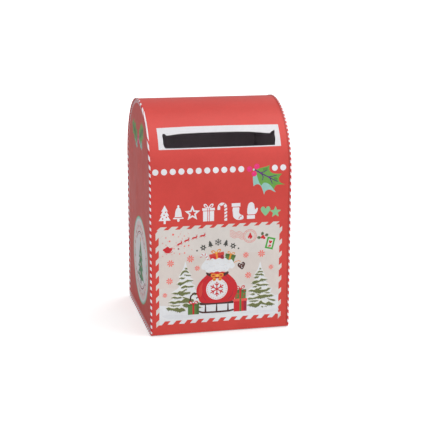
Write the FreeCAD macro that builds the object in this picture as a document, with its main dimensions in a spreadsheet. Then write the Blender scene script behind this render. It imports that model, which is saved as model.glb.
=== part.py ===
import FreeCAD, Part
import math
import os
import Sketcher
from FreeCAD import Placement, Rotation, Vector

# Tin money box in the shape of a post box: a D-profile tinplate body with two seamed end panels,
# a pressed base tray and a hinged, locking door in the back sheet. Millimetres, +Z up, front at -Y,
# origin at the centre of the face it rests on.

doc = FreeCAD.newDocument("tin_money_box")
sheet = doc.addObject("Spreadsheet::Sheet", "dims")

DIMENSIONS = [
    # name, value, meaning
    ("box_width", 100.0, "overall width over the two end rims"),
    ("box_depth", 98.0, "overall depth of the D profile, twice the dome radius"),
    ("dome_height", 111.0, "height of the dome's centre line"),
    ("sheet_thick", 0.3, "tinplate thickness"),
    ("seam_gap", 0.05, "gap between seamed sheets"),
    ("fit_gap", 0.05, "clearance between fitted hinge and lock parts"),
    ("seat_gap", 0.02, "clearance under the plug's head and behind the cam"),
    # body sheet and letter slot
    ("wrap_end_gap", 0.1, "gap from the body sheet's ends to the bottom of the rim grooves"),
    ("hem_width", 4.65, "width of the folded lower hem"),
    ("slot_width", 78.6, "width of the letter slot"),
    ("slot_low", 24.4, "angle up the dome of the slot's lower edge"),
    ("slot_top", 37.4, "angle up the dome of the slot's upper edge"),
    ("slot_bow", 1.6, "drop of the slot's upper edge at its +X end"),
    ("lip_depth", 3.8, "depth of the lip folded in from the slot's upper edge"),
    ("lip_tuck", 0.02, "depth of the lip's outer edge below the sheet's outer face"),
    ("lip_inset", 6.0, "distance of the lip's ends from the slot's ends"),
    # end panels
    ("rim_width", 1.5, "width of the rim that hooks over the body sheet"),
    ("panel_recess", 0.7, "depth of the end panel inside its rim"),
    # base tray
    ("tray_height", 3.3, "height of the base tray's skirt"),
    ("tray_corner", 0.6, "outer corner radius of the skirt"),
    ("plateau_x", 46.0, "half length of the base tray's lowered middle"),
    ("plateau_y", 43.5, "half depth of the base tray's lowered middle"),
    ("plateau_corner", 4.0, "outer corner radius of the lowered middle"),
    # door
    ("opening_x", 30.0, "half width of the opening in the back sheet"),
    ("opening_low", 20.0, "lower edge of the opening"),
    ("opening_top", 98.0, "upper edge of the opening"),
    ("opening_corner", 3.0, "corner radius of the opening"),
    ("door_lap", 3.0, "lap of the door outside the opening"),
    ("door_corner", 4.0, "corner radius of the door"),
    ("emboss_rise", 0.8, "height of the door's pressed field"),
    ("field_corner", 4.0, "outer corner radius of the field"),
    ("field_margin", 8.0, "distance of the field from the door's lower and upper edges"),
    ("field_to_lock", 9.5, "distance of the field from the lock axis"),
    ("field_to_leaf", 4.0, "distance of the field from the door leaf"),
    # hinge
    ("hinge_x", 35.6, "hinge axis, sideways"),
    ("hinge_y", 49.8, "hinge axis, depth"),
    ("hinge_low", 34.0, "lower end of the hinge"),
    ("hinge_top", 84.0, "upper end of the hinge"),
    ("barrel_radius", 1.1, "outer radius of the hinge knuckles"),
    ("bore_radius", 0.6, "bore radius of the hinge knuckles"),
    ("knuckle_gap", 0.2, "gap between knuckles"),
    ("leaf_thick", 0.4, "hinge leaf thickness"),
    ("leaf_corner", 0.8, "corner radius of the leaf plates"),
    ("leaf_far", 44.0, "outer edge of the body leaf"),
    ("leaf_near", 25.5, "inner edge of the door leaf"),
    ("leaf_to_barrel", 0.3, "gap between a leaf plate and the knuckles, seen from behind"),
    ("bridge_reach", 1.5, "reach of the bridges from the barrel's edge over the leaf plates"),
    ("body_bridge_start", 0.1, "start of the body leaf's bridges from the hinge axis"),
    ("door_bridge_lap", 0.3, "lap of the door leaf's bridges into the knuckles"),
    ("pin_radius", 0.55, "radius of the hinge wire"),
    ("pin_overhang", 0.3, "length of the wire past each end of the hinge"),
    ("flare_gap", 0.1, "gap between the hinge and the wire's flared ends"),
    ("flare_height", 0.5, "height of a flared end"),
    ("flare_wide", 0.45, "growth of the wire's radius at a flare's wide face"),
    ("flare_narrow", 0.15, "growth of the wire's radius at a flare's narrow face"),
    # rivets
    ("rivet_radius", 0.9, "rivet shank radius"),
    ("rivet_hole", 0.95, "rivet hole radius"),
    ("rivet_head_radius", 1.8, "rivet head radius"),
    ("rivet_tail_radius", 1.5, "rivet tail radius"),
    ("shank_lap", 0.3, "reach of the shank into the head and the tail"),
    ("collar_height", 0.25, "height of the straight part of the head"),
    ("cone_height", 0.55, "height of the tapered part of the head"),
    ("cone_taper", 0.45, "head's end radius as a share of the head radius"),
    ("rivet_tail_height", 0.4, "rivet tail height"),
    ("rivet_body_x", 41.0, "rivets of the body leaf, sideways"),
    ("rivet_door_x", 27.6, "rivets of the door leaf, sideways"),
    ("rivet_low", 42.0, "lower rivet"),
    ("rivet_mid", 59.0, "middle rivet"),
    ("rivet_top", 76.0, "upper rivet"),
    # lock
    ("lock_x", -21.0, "lock axis, sideways"),
    ("lock_z", 59.0, "lock axis, height"),
    ("flange_radius", 5.5, "lock flange radius"),
    ("flange_thick", 1.05, "lock flange thickness"),
    ("housing_radius", 4.0, "lock barrel radius"),
    ("housing_end", 44.0, "inner end of the lock barrel"),
    ("plug_radius", 2.5, "plug radius"),
    ("plug_gap", 0.05, "running clearance of the plug"),
    ("plug_head", 3.1, "radius of the plug's head"),
    ("head_depth", 0.8, "depth of the plug's head"),
    ("plug_end", 43.8, "inner end of the plug"),
    ("keyway_end", 44.5, "bottom of the keyway"),
    ("keyway_width", 1.0, "keyway width"),
    ("keyway_tall", 3.4, "keyway height"),
    ("plug_tail_half", 1.3, "half side of the plug's square tail"),
    ("stud_radius", 1.15, "radius of the stud on the plug's tail"),
    ("stud_gap", 0.03, "clearance of the cam nut around the stud"),
    ("stud_end", 41.0, "inner end of the stud"),
    ("cam_thick", 1.0, "cam thickness"),
    ("cam_half", 2.5, "half width of the cam"),
    ("cam_rise", 3.6, "reach of the cam above the lock axis"),
    ("cam_reach", 13.0, "reach of the cam below the lock axis"),
    ("cam_step", 7.1, "distance below the lock axis where the cam steps outwards"),
    ("cam_tip_y", 48.1, "outer face of the cam's tip"),
    ("nut_flats", 11.0, "lock nut across its flats"),
    ("nut_thick", 2.0, "lock nut thickness"),
    ("cam_nut_flats", 4.6, "cam nut across its flats"),
    ("cam_nut_thick", 1.4, "cam nut thickness"),
    # key
    ("key_thick", 0.9, "key blade thickness"),
    ("key_tall", 3.0, "key blade height"),
    ("key_tip_gap", 0.1, "gap between the key's tip and the keyway's bottom"),
    ("neck_gap", 1.2, "gap between the key's neck and the lock's face"),
    ("neck_half", 2.6, "half height of the key's neck"),
    ("neck_to_bow", 5.0, "distance of the neck's outer end from the bow's centre"),
    ("bow_radius", 7.0, "radius of the key's bow"),
    ("bow_extra", 0.5, "extra thickness of the bow over the blade"),
    ("bow_y", 61.0, "centre of the bow"),
    ("bow_hole", 2.6, "radius of the hole in the bow"),
    ("bow_hole_shift", 2.2, "distance of the hole outwards from the bow's centre"),
]

KNUCKLES = 5
OVERSHOOT = 1.0  # how far cuts start or end clear of the metal
CUT_INSET = 10.0  # how far inside the box's depth the cuts through its wall start or end


class Size:
    """A size with its value and the spreadsheet expression that it comes from."""

    def __init__(self, value, text):
        self.value = float(value)
        self.text = text

    def __add__(self, other):
        other = size(other)
        return Size(self.value + other.value, "(%s + %s)" % (self.text, other.text))

    def __sub__(self, other):
        other = size(other)
        return Size(self.value - other.value, "(%s - %s)" % (self.text, other.text))

    def __mul__(self, other):
        other = size(other)
        return Size(self.value * other.value, "(%s * %s)" % (self.text, other.text))

    def __truediv__(self, other):
        other = size(other)
        return Size(self.value / other.value, "(%s / %s)" % (self.text, other.text))

    def __neg__(self):
        return Size(-self.value, "(0 - %s)" % self.text)


class Dimensions:
    """Holds each driving dimension as an attribute of the same name as its alias."""


def size(value):
    return value if isinstance(value, Size) else Size(value, "(%.6f)" % value)


def cosine(angle):
    return Size(math.cos(math.radians(angle.value)), "cos(%s)" % angle.text)


def sine(angle):
    return Size(math.sin(math.radians(angle.value)), "sin(%s)" % angle.text)


dims = Dimensions()
sheet.set("A1", "dimension")
sheet.set("B1", "millimetres, degrees or ratio")
sheet.set("C1", "meaning")
for row, (name, value, meaning) in enumerate(DIMENSIONS, start=2):
    sheet.set("A%d" % row, name)
    sheet.set("B%d" % row, str(value))
    sheet.setAlias("B%d" % row, name)
    sheet.set("C%d" % row, meaning)
    setattr(dims, name, Size(value, "dims." + name))
doc.recompute()


# ---- objects and sketches tied to the spreadsheet ---------------------------------------------
def bind(obj, prop, value):
    """Sets a property and ties it to the spreadsheet."""
    value = size(value)
    setattr(obj, prop, value.value)
    obj.setExpression(prop, value.text)


def place(obj, x, y, z, rotation=Rotation()):
    obj.Placement = Placement(Vector(x.value, y.value, z.value), rotation)
    for axis, position in (("x", x), ("y", y), ("z", z)):
        obj.setExpression("Placement.Base." + axis, position.text)


def new_body(label):
    return doc.addObject("PartDesign::Body", label)


def new_sketch(body, name, plane, offset=0):
    """plane: XY_Plane faces +Z, XZ_Plane faces -Y, YZ_Plane faces +X; offset is along that."""
    sketch = body.newObject("Sketcher::SketchObject", name)
    support = [o for o in body.Origin.OriginFeatures if o.Role == plane][0]
    sketch.AttachmentSupport = [(support, "")]
    sketch.MapMode = "FlatFace"
    offset = size(offset)
    sketch.AttachmentOffset = Placement(Vector(0, 0, offset.value), Rotation())
    sketch.setExpression("AttachmentOffset.Base.z", offset.text)
    return sketch


def back_sketch(body, name, y):
    """A sketch seen from the front, on the plane at depth y."""
    return new_sketch(body, name, "XZ_Plane", -y)


def constrain(sketch, label, value, kind, *where):
    """Adds a named constraint whose value comes from the spreadsheet."""
    value = size(value)
    index = sketch.addConstraint(Sketcher.Constraint(kind, *where, value.value))
    sketch.renameConstraint(index, label)
    sketch.setExpression("Constraints." + label, value.text)


def fix_point(sketch, edge, end, x, y):
    """Fixes a point of an edge: end 1 is its start, 2 its end, 3 its centre."""
    constrain(sketch, "x%d_%d" % (edge, end), x, "DistanceX", -1, 1, edge, end)
    constrain(sketch, "y%d_%d" % (edge, end), y, "DistanceY", -1, 1, edge, end)


def fix_radius(sketch, edge, radius):
    constrain(sketch, "rad%d" % edge, radius, "Radius", edge)


def join(sketch, first, first_end, second, second_end):
    sketch.addConstraint(
        Sketcher.Constraint("Coincident", first, first_end, second, second_end))


def add_line(sketch, start, end):
    ends = [Vector(size(x).value, size(y).value, 0) for x, y in (start, end)]
    return sketch.addGeometry(Part.LineSegment(*ends), False)


def plain_circle(x, y, radius):
    return Part.Circle(Vector(size(x).value, size(y).value, 0), Vector(0, 0, 1), radius.value)


def polygon(sketch, points):
    following = points[1:] + points[:1]
    edges = [add_line(sketch, a, b) for a, b in zip(points, following)]
    for edge, after in zip(edges, edges[1:] + edges[:1]):
        join(sketch, edge, 2, after, 1)
    for edge, point in zip(edges, points):
        fix_point(sketch, edge, 1, *point)


def rectangle(sketch, x0, x1, y0, y1):
    polygon(sketch, [(x0, y0), (x1, y0), (x1, y1), (x0, y1)])


def circle(sketch, x, y, radius):
    edge = sketch.addGeometry(plain_circle(x, y, radius), False)
    fix_radius(sketch, edge, radius)
    fix_point(sketch, edge, 3, x, y)


def hexagon(sketch, x, y, flats):
    """A hexagon with two corners level with its centre."""
    radius = flats / (2 * math.cos(math.radians(30)))
    angles = [math.radians(60 * i) for i in range(6)]
    polygon(sketch, [(x + radius * math.cos(a), y + radius * math.sin(a)) for a in angles])


def round_rectangle(sketch, x0, x1, y0, y1, radius):
    """A rectangle with rounded corners: four lines and four tangent arcs."""
    left, right = x0 + radius, x1 - radius
    low, high = y0 + radius, y1 - radius
    lines = [
        ((left, y0), (right, y0)),
        ((x1, low), (x1, high)),
        ((right, y1), (left, y1)),
        ((x0, high), (x0, low)),
    ]
    # centre and start angle of the corner after each line
    corners = [(right, low, -90), (right, high, 0), (left, high, 90), (left, low, 180)]
    edges = []
    for start, end in lines:
        edge = add_line(sketch, start, end)
        fix_point(sketch, edge, 1, *start)
        fix_point(sketch, edge, 2, *end)
        edges.append(edge)
    for i, (x, y, angle) in enumerate(corners):
        arc = Part.ArcOfCircle(
            plain_circle(x, y, radius), math.radians(angle), math.radians(angle + 90))
        edge = sketch.addGeometry(arc, False)
        join(sketch, edges[i], 2, edge, 1)
        join(sketch, edge, 2, edges[(i + 1) % 4], 1)
        fix_radius(sketch, edge, radius)


def post_box_outline(sketch, inset):
    """The box's end outline, inset all round: a straight-sided D with its dome up."""
    inset = size(inset)
    half = dims.box_depth / 2 - inset
    top = dims.dome_height
    front_low, front_top = (-half, inset), (-half, top)
    back_top, back_low = (half, top), (half, inset)
    front = add_line(sketch, front_low, front_top)
    back = add_line(sketch, back_top, back_low)
    floor = add_line(sketch, back_low, front_low)
    dome = sketch.addGeometry(Part.ArcOfCircle(plain_circle(0, top, half), 0, math.pi), False)
    join(sketch, front, 2, dome, 2)
    join(sketch, dome, 1, back, 1)
    join(sketch, back, 2, floor, 1)
    join(sketch, floor, 2, front, 1)
    fix_point(sketch, front, 1, *front_low)
    fix_point(sketch, front, 2, *front_top)
    fix_point(sketch, back, 1, *back_top)
    fix_point(sketch, back, 2, *back_low)
    # both ends are fixed, so the height of the centre fixes the dome
    constrain(sketch, "centre%d" % dome, top, "DistanceY", -1, 1, dome, 3)


def extrude(kind, body, sketch, length, name, reverse, both):
    feature = body.newObject("PartDesign::" + kind, name)
    feature.Profile = sketch
    bind(feature, "Length", length)
    if both:
        feature.SideType = "Symmetric"
    feature.Reversed = reverse
    doc.recompute()


def pad(body, sketch, length, name, reverse=False, both=False):
    """Adds metal along the sketch's normal, or against it when reversed."""
    extrude("Pad", body, sketch, length, name, reverse, both)


def pocket(body, sketch, length, name, reverse=False, both=False):
    """Cuts against the sketch's normal, or along it when reversed; stops if nothing is cut."""
    before = body.Shape.Volume
    extrude("Pocket", body, sketch, length, name, reverse, both)
    if body.Shape.Volume >= before - 1e-4:
        raise RuntimeError("%s in %s cut nothing" % (name, body.Label))


# ---- shared places ----------------------------------------------------------------------------
thick = dims.sheet_thick
gap = dims.seam_gap
half_x = dims.box_width / 2
half_y = dims.box_depth / 2
# insets of the seam's layers from the box's outline, from the outside in
wrap_out = thick + gap  # body sheet, outer face
wrap_in = wrap_out + thick  # body sheet, inner face
leg_out = wrap_in + gap  # end panel's inner leg, outer face
leg_in = leg_out + thick  # end panel's inner leg, inner face
plate_in = half_x - dims.panel_recess - thick  # inner face of the end panel's plate

back_out = half_y - wrap_out  # the back sheet's outer face
back_in = half_y - wrap_in
door_in = back_out + gap
door_out = door_in + thick
door_x = dims.opening_x + dims.door_lap
door_low = dims.opening_low - dims.door_lap
door_top = dims.opening_top + dims.door_lap

hinge_x, hinge_y = dims.hinge_x, dims.hinge_y
hinge_length = dims.hinge_top - dims.hinge_low
body_leaf_in = hinge_y - dims.barrel_radius
door_leaf_in = door_out + dims.fit_gap
rivet_heights = (dims.rivet_low, dims.rivet_mid, dims.rivet_top)

lock_x, lock_z = dims.lock_x, dims.lock_z
lock_face = door_out + dims.flange_thick  # outer face of the lock
cam_out = dims.plug_end - dims.seat_gap
cam_in = cam_out - dims.cam_thick


def rivet_holes(sketch, x):
    for z in rivet_heights:
        circle(sketch, x, z, dims.rivet_hole)


# ---- tinplate pieces --------------------------------------------------------------------------
def cut_letter_slot(body):
    """The slot in the dome's front, its upper edge bowed down towards its ends."""
    shell = half_y - wrap_out
    side = dims.slot_width / 2
    low = dims.dome_height + shell * sine(dims.slot_low)
    top = dims.dome_height + shell * sine(dims.slot_top)
    sketch = new_sketch(body, "slot_outline", "XZ_Plane", half_y + OVERSHOOT)
    # x, z of the measured outline, anticlockwise as seen from the front
    polygon(sketch, [
        (-(side - 1.3), low), (side, low),
        (side, top - 0.2), (side - 1.6, top - 0.2), (side - 3.0, top - dims.slot_bow),
        (side * 0.55, top - 0.3), (0, top), (side * -0.6, top - 0.2),
        (-(side - 3.5), top - 1.2), (-(side - 2.0), top - 0.5), (-side, top - 0.5),
        (-side, low + 2.9),
    ])
    pocket(body, sketch, half_y - CUT_INSET, "letter_slot")

    # the lip folded inwards from the slot's upper edge
    lip_low = dims.slot_top
    lip_top = lip_low + thick / shell * math.degrees(1)
    outer = shell - dims.lip_tuck
    inner = shell - dims.lip_depth
    sketch = new_sketch(body, "lip_section", "YZ_Plane")
    corners = [(outer, lip_low), (outer, lip_top), (inner, lip_top), (inner, lip_low)]
    polygon(sketch, [
        (-(radius * cosine(angle)), dims.dome_height + radius * sine(angle))
        for radius, angle in corners
    ])
    pad(body, sketch, (side - dims.lip_inset) * 2, "slot_lip", both=True)


def build_body_wrap():
    """Front, dome and back in one sheet, hemmed along its lower edges."""
    body = new_body("body_wrap")
    width = (half_x - thick - dims.wrap_end_gap) * 2
    sketch = new_sketch(body, "wrap_outline", "YZ_Plane")
    post_box_outline(sketch, wrap_out)
    post_box_outline(sketch, wrap_in)
    pad(body, sketch, width, "wrap_sheet", both=True)

    # opens the floor between the two hems
    sketch = new_sketch(body, "hem_opening", "YZ_Plane")
    hem_edge = back_out - dims.hem_width
    rectangle(sketch, -hem_edge, hem_edge, -OVERSHOOT, wrap_in + 0.5)
    pocket(body, sketch, width + 2 * OVERSHOOT, "hem_cut", both=True)

    cut_letter_slot(body)

    # both cuts run backwards from inside the box
    sketch = back_sketch(body, "door_opening_outline", half_y - CUT_INSET)
    round_rectangle(sketch, -dims.opening_x, dims.opening_x,
                    dims.opening_low, dims.opening_top, dims.opening_corner)
    pocket(body, sketch, 2 * CUT_INSET, "door_opening")
    sketch = back_sketch(body, "leaf_holes_outline", half_y - CUT_INSET)
    rivet_holes(sketch, dims.rivet_body_x)
    pocket(body, sketch, 2 * CUT_INSET, "leaf_holes")
    return body


def build_end_panel(label, turn):
    """A recessed D plate and a channel rim over the body sheet, turned about Z from +X."""
    body = new_body(label)
    sketch = new_sketch(body, "rim_blank_outline", "YZ_Plane", half_x - dims.rim_width)
    post_box_outline(sketch, 0)
    pad(body, sketch, dims.rim_width, "rim_blank")
    # groove that takes the body sheet's edge, open towards the inside of the box
    sketch = new_sketch(body, "seam_groove_outline", "YZ_Plane", half_x - thick)
    post_box_outline(sketch, thick)
    post_box_outline(sketch, leg_out)
    pocket(body, sketch, dims.rim_width, "seam_groove")
    # the recess outside the plate
    sketch = new_sketch(body, "recess_outline", "YZ_Plane", half_x)
    post_box_outline(sketch, leg_in)
    pocket(body, sketch, dims.panel_recess, "recess")
    # the space inside the plate
    sketch = new_sketch(body, "inside_outline", "YZ_Plane", plate_in)
    post_box_outline(sketch, leg_out)
    pocket(body, sketch, dims.rim_width, "inside")
    body.Placement = Placement(Vector(0, 0, 0), Rotation(Vector(0, 0, 1), turn))
    return body


def build_base_panel():
    """A tray: flange over the hems, skirt inside the walls, middle pressed down flush."""
    body = new_body("base_panel")

    def outline(name, z, x, y, corner):
        sketch = new_sketch(body, name, "XY_Plane", z)
        round_rectangle(sketch, -x, x, -y, y, corner)
        return sketch

    x, y, corner = plate_in - gap, back_in - gap, dims.tray_corner
    sketch = outline("flange_outline", wrap_in, x, y, corner)
    pad(body, sketch, dims.tray_height, "tray_blank")
    sketch = outline("skirt_outline", wrap_in + dims.tray_height,
                     x - thick, y - thick, corner - thick)
    pocket(body, sketch, dims.tray_height - thick, "skirt")

    x, y, corner = dims.plateau_x, dims.plateau_y, dims.plateau_corner
    sketch = outline("plateau_outline", 0, x, y, corner)
    pad(body, sketch, wrap_in + thick, "plateau")
    sketch = outline("plateau_inside_outline", wrap_in + thick,
                     x - thick, y - thick, corner - thick)
    pocket(body, sketch, wrap_in, "plateau_inside")
    return body


def build_rear_door():
    """A flat plate lapping the opening, with a field pressed outwards."""
    body = new_body("rear_door")
    sketch = back_sketch(body, "door_outline", door_in)
    round_rectangle(sketch, -door_x, door_x, door_low, door_top, dims.door_corner)
    pad(body, sketch, thick, "door_plate", reverse=True)

    x0, x1 = lock_x + dims.field_to_lock, dims.leaf_near - dims.field_to_leaf
    z0, z1 = door_low + dims.field_margin, door_top - dims.field_margin
    sketch = back_sketch(body, "field_outline", door_in)
    round_rectangle(sketch, x0, x1, z0, z1, dims.field_corner)
    pad(body, sketch, thick + dims.emboss_rise, "field", reverse=True)
    sketch = back_sketch(body, "field_inside_outline", door_in)
    round_rectangle(sketch, x0 + thick, x1 - thick, z0 + thick, z1 - thick,
                    dims.field_corner - thick)
    pocket(body, sketch, dims.emboss_rise, "field_inside")

    sketch = back_sketch(body, "door_holes_outline", door_in - 5)
    circle(sketch, lock_x, lock_z, dims.housing_radius + dims.fit_gap)
    rivet_holes(sketch, dims.rivet_door_x)
    pocket(body, sketch, 12, "door_holes")
    return body


# ---- hinge: two leaves, five knuckles, a wire pin and six rivets ------------------------------
def knuckle_span(number):
    """Lower and upper end of a knuckle, counted from 0 at the bottom."""
    pitch = hinge_length / KNUCKLES
    low = dims.hinge_low + pitch * number
    high = dims.hinge_low + pitch * (number + 1)
    if number > 0:
        low = low + dims.knuckle_gap / 2
    if number < KNUCKLES - 1:
        high = high - dims.knuckle_gap / 2
    return low, high


def build_leaf(label, inner, plate_x, bridge_x, knuckles, rivet_x):
    """A hinge leaf whose inner face is at depth inner; plate_x and bridge_x are X ranges."""
    body = new_body(label)
    sketch = back_sketch(body, "plate_outline", inner)
    round_rectangle(sketch, *plate_x, dims.hinge_low, dims.hinge_top, dims.leaf_corner)
    pad(body, sketch, dims.leaf_thick, "plate", reverse=True)
    for i, number in enumerate(knuckles):
        low, high = knuckle_span(number)
        sketch = back_sketch(body, "bridge%d_outline" % i, inner)
        rectangle(sketch, *bridge_x, low, high)
        pad(body, sketch, dims.leaf_thick, "bridge%d" % i, reverse=True)
        sketch = new_sketch(body, "knuckle%d_outline" % i, "XY_Plane", low)
        circle(sketch, hinge_x, hinge_y, dims.barrel_radius)
        pad(body, sketch, high - low, "knuckle%d" % i)
    sketch = new_sketch(body, "bore_outline", "XY_Plane", dims.hinge_low - OVERSHOOT)
    circle(sketch, hinge_x, hinge_y, dims.bore_radius)
    pocket(body, sketch, hinge_length + 2 * OVERSHOOT, "bore", reverse=True)
    sketch = back_sketch(body, "holes_outline", inner - 2)
    rivet_holes(sketch, rivet_x)
    pocket(body, sketch, 6, "holes")
    return body


def build_body_leaf():
    edge = hinge_x + dims.barrel_radius
    return build_leaf(
        "hinge_leaf_body", body_leaf_in,
        plate_x=(edge + dims.leaf_to_barrel, dims.leaf_far),
        bridge_x=(hinge_x + dims.body_bridge_start, edge + dims.bridge_reach),
        knuckles=(0, 2, 4), rivet_x=dims.rivet_body_x)


def build_door_leaf():
    edge = hinge_x - dims.barrel_radius
    return build_leaf(
        "hinge_leaf_door", door_leaf_in,
        plate_x=(dims.leaf_near, edge - dims.leaf_to_barrel),
        bridge_x=(edge - dims.bridge_reach, edge + dims.door_bridge_lap),
        knuckles=(1, 3), rivet_x=dims.rivet_door_x)


def add_cylinder(name, radius, height):
    cylinder = doc.addObject("Part::Cylinder", name)
    bind(cylinder, "Radius", radius)
    bind(cylinder, "Height", height)
    return cylinder


def add_cone(name, start_radius, end_radius, height):
    cone = doc.addObject("Part::Cone", name)
    bind(cone, "Radius1", start_radius)
    bind(cone, "Radius2", end_radius)
    bind(cone, "Height", height)
    return cone


def fuse(label, pieces):
    fusion = doc.addObject("Part::MultiFuse", label)
    fusion.Shapes = pieces
    return fusion


def build_hinge_pin():
    """A wire with a flare at each end, widest towards the hinge."""
    wide = dims.pin_radius + dims.flare_wide
    narrow = dims.pin_radius + dims.flare_narrow
    shank = add_cylinder("pin_shank", dims.pin_radius, hinge_length + dims.pin_overhang * 2)
    place(shank, hinge_x, hinge_y, dims.hinge_low - dims.pin_overhang)
    foot = add_cone("pin_foot", narrow, wide, dims.flare_height)
    place(foot, hinge_x, hinge_y, dims.hinge_low - dims.flare_gap - dims.flare_height)
    cap = add_cone("pin_cap", wide, narrow, dims.flare_height)
    place(cap, hinge_x, hinge_y, dims.hinge_top + dims.flare_gap)
    return fuse("hinge_pin", [shank, foot, cap])


def build_rivet(tag, x, z, head_face, tail_face):
    """One rivet along Y: head outside at head_face, tail inside at tail_face."""
    head = dims.rivet_head_radius
    shank_length = head_face - tail_face + dims.shank_lap * 2
    pieces = [
        # piece, depth of its inner end
        (add_cylinder(tag + "_shank", dims.rivet_radius, shank_length),
         tail_face - dims.shank_lap),
        (add_cylinder(tag + "_collar", head, dims.collar_height), head_face),
        (add_cone(tag + "_head", head, head * dims.cone_taper, dims.cone_height),
         head_face + dims.collar_height),
        (add_cylinder(tag + "_tail", dims.rivet_tail_radius, dims.rivet_tail_height),
         tail_face - dims.rivet_tail_height),
    ]
    for piece, y in pieces:
        place(piece, x, y, z, Rotation(Vector(1, 0, 0), -90))
    return fuse(tag, [piece for piece, y in pieces])


def build_rivets(label, x, head_face, tail_face):
    rivets = [build_rivet("%s_%d" % (label, i), x, z, head_face, tail_face)
              for i, z in enumerate(rivet_heights, start=1)]
    group = doc.addObject("Part::Compound", label)
    group.Links = rivets
    return group


# ---- cam lock ---------------------------------------------------------------------------------
def lock_disc(body, name, y, radius):
    """A sketch at depth y with one circle on the lock axis."""
    sketch = back_sketch(body, name, y)
    circle(sketch, lock_x, lock_z, radius)
    return sketch


def lock_rectangle(body, name, y, half_width, half_height):
    """A sketch at depth y with a rectangle centred on the lock axis."""
    sketch = back_sketch(body, name, y)
    rectangle(sketch, lock_x - half_width, lock_x + half_width,
              lock_z - half_height, lock_z + half_height)
    return sketch


def build_lock_housing():
    body = new_body("lock_housing")
    sketch = lock_disc(body, "flange_outline", door_out, dims.flange_radius)
    pad(body, sketch, dims.flange_thick, "flange", reverse=True)
    sketch = lock_disc(body, "barrel_outline", door_out, dims.housing_radius)
    pad(body, sketch, door_out - dims.housing_end, "barrel")
    sketch = lock_disc(body, "bore_outline", lock_face + OVERSHOOT,
                       dims.plug_radius + dims.plug_gap)
    pocket(body, sketch, 12, "bore", reverse=True)
    sketch = lock_disc(body, "counterbore_outline", lock_face, dims.plug_head + dims.plug_gap)
    pocket(body, sketch, dims.head_depth + dims.seat_gap, "counterbore", reverse=True)
    return body


def build_nut(label, names, y, flats, hole, height):
    """A hexagonal nut on the lock axis, from depth y inwards; names are sketch and pad."""
    body = new_body(label)
    sketch = back_sketch(body, names[0], y)
    hexagon(sketch, lock_x, lock_z, flats)
    circle(sketch, lock_x, lock_z, hole)
    pad(body, sketch, height, names[1])
    return body


def build_lock_plug():
    """A headed plug with a square tail, a round stud and a keyway in its outer face."""
    body = new_body("lock_plug")
    half = dims.plug_tail_half
    sketch = lock_disc(body, "head_outline", lock_face, dims.plug_head)
    pad(body, sketch, dims.head_depth, "plug_head_disc")
    sketch = lock_disc(body, "plug_outline", lock_face, dims.plug_radius)
    pad(body, sketch, lock_face - dims.plug_end, "plug")
    sketch = lock_rectangle(body, "tail_outline", dims.plug_end, half, half)
    pad(body, sketch, dims.cam_thick + dims.fit_gap, "tail")
    sketch = lock_disc(body, "stud_outline", dims.plug_end, dims.stud_radius)
    pad(body, sketch, dims.plug_end - dims.stud_end, "stud")
    sketch = lock_rectangle(body, "keyway_outline", lock_face,
                            dims.keyway_width / 2, dims.keyway_tall / 2)
    pocket(body, sketch, lock_face - dims.keyway_end, "keyway", reverse=True)
    return body


def build_lock_cam():
    """A bent latch arm, pointing down, with a square hole for the plug's tail."""
    body = new_body("lock_cam")
    tip_out = dims.cam_tip_y
    tip_in = tip_out - dims.cam_thick
    top, end = lock_z + dims.cam_rise, lock_z - dims.cam_reach
    step = lock_z - dims.cam_step
    step_under = step - dims.cam_thick
    sketch = new_sketch(body, "cam_section", "YZ_Plane", lock_x)
    polygon(sketch, [
        (cam_in, top), (cam_out, top), (cam_out, step), (tip_out, step), (tip_out, end),
        (tip_in, end), (tip_in, step_under), (cam_in, step_under),
    ])
    pad(body, sketch, dims.cam_half * 2, "cam", both=True)
    half = dims.plug_tail_half + dims.fit_gap
    sketch = lock_rectangle(body, "cam_hole_outline", cam_out + OVERSHOOT, half, half)
    pocket(body, sketch, 3, "cam_hole", reverse=True)
    return body


def build_key():
    """A flat key in the lock: blade with three cuts in its upper edge, thicker round bow."""
    body = new_body("key")
    tip = dims.keyway_end + dims.key_tip_gap
    low, high = lock_z - dims.key_tall / 2, lock_z + dims.key_tall / 2
    neck_low, neck_high = lock_z - dims.neck_half, lock_z + dims.neck_half
    neck_in, neck_out = lock_face + dims.neck_gap, dims.bow_y - dims.neck_to_bow
    sketch = new_sketch(body, "blade_outline", "YZ_Plane", lock_x)
    # y, z: lower edge, neck, then the cut upper edge back to the tip
    polygon(sketch, [
        (tip, low + 0.6), (tip + 0.6, low), (neck_in, low),
        (neck_in, neck_low), (neck_out, neck_low), (neck_out, neck_high), (neck_in, neck_high),
        (neck_in, high), (tip + 4.9, high), (tip + 4.3, high - 0.7), (tip + 3.7, high),
        (tip + 3.2, high), (tip + 2.6, high - 1.1), (tip + 2.0, high - 0.3),
        (tip + 1.4, high - 0.9), (tip + 0.8, high - 0.2), (tip, high - 0.8),
    ])
    pad(body, sketch, dims.key_thick, "blade", both=True)
    sketch = new_sketch(body, "bow_outline", "YZ_Plane", lock_x)
    circle(sketch, dims.bow_y, lock_z, dims.bow_radius)
    pad(body, sketch, dims.key_thick + dims.bow_extra, "bow", both=True)
    sketch = new_sketch(body, "bow_hole_outline", "YZ_Plane", lock_x)
    circle(sketch, dims.bow_y + dims.bow_hole_shift, lock_z, dims.bow_hole)
    pocket(body, sketch, 6, "bow_hole", both=True)
    return body


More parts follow.
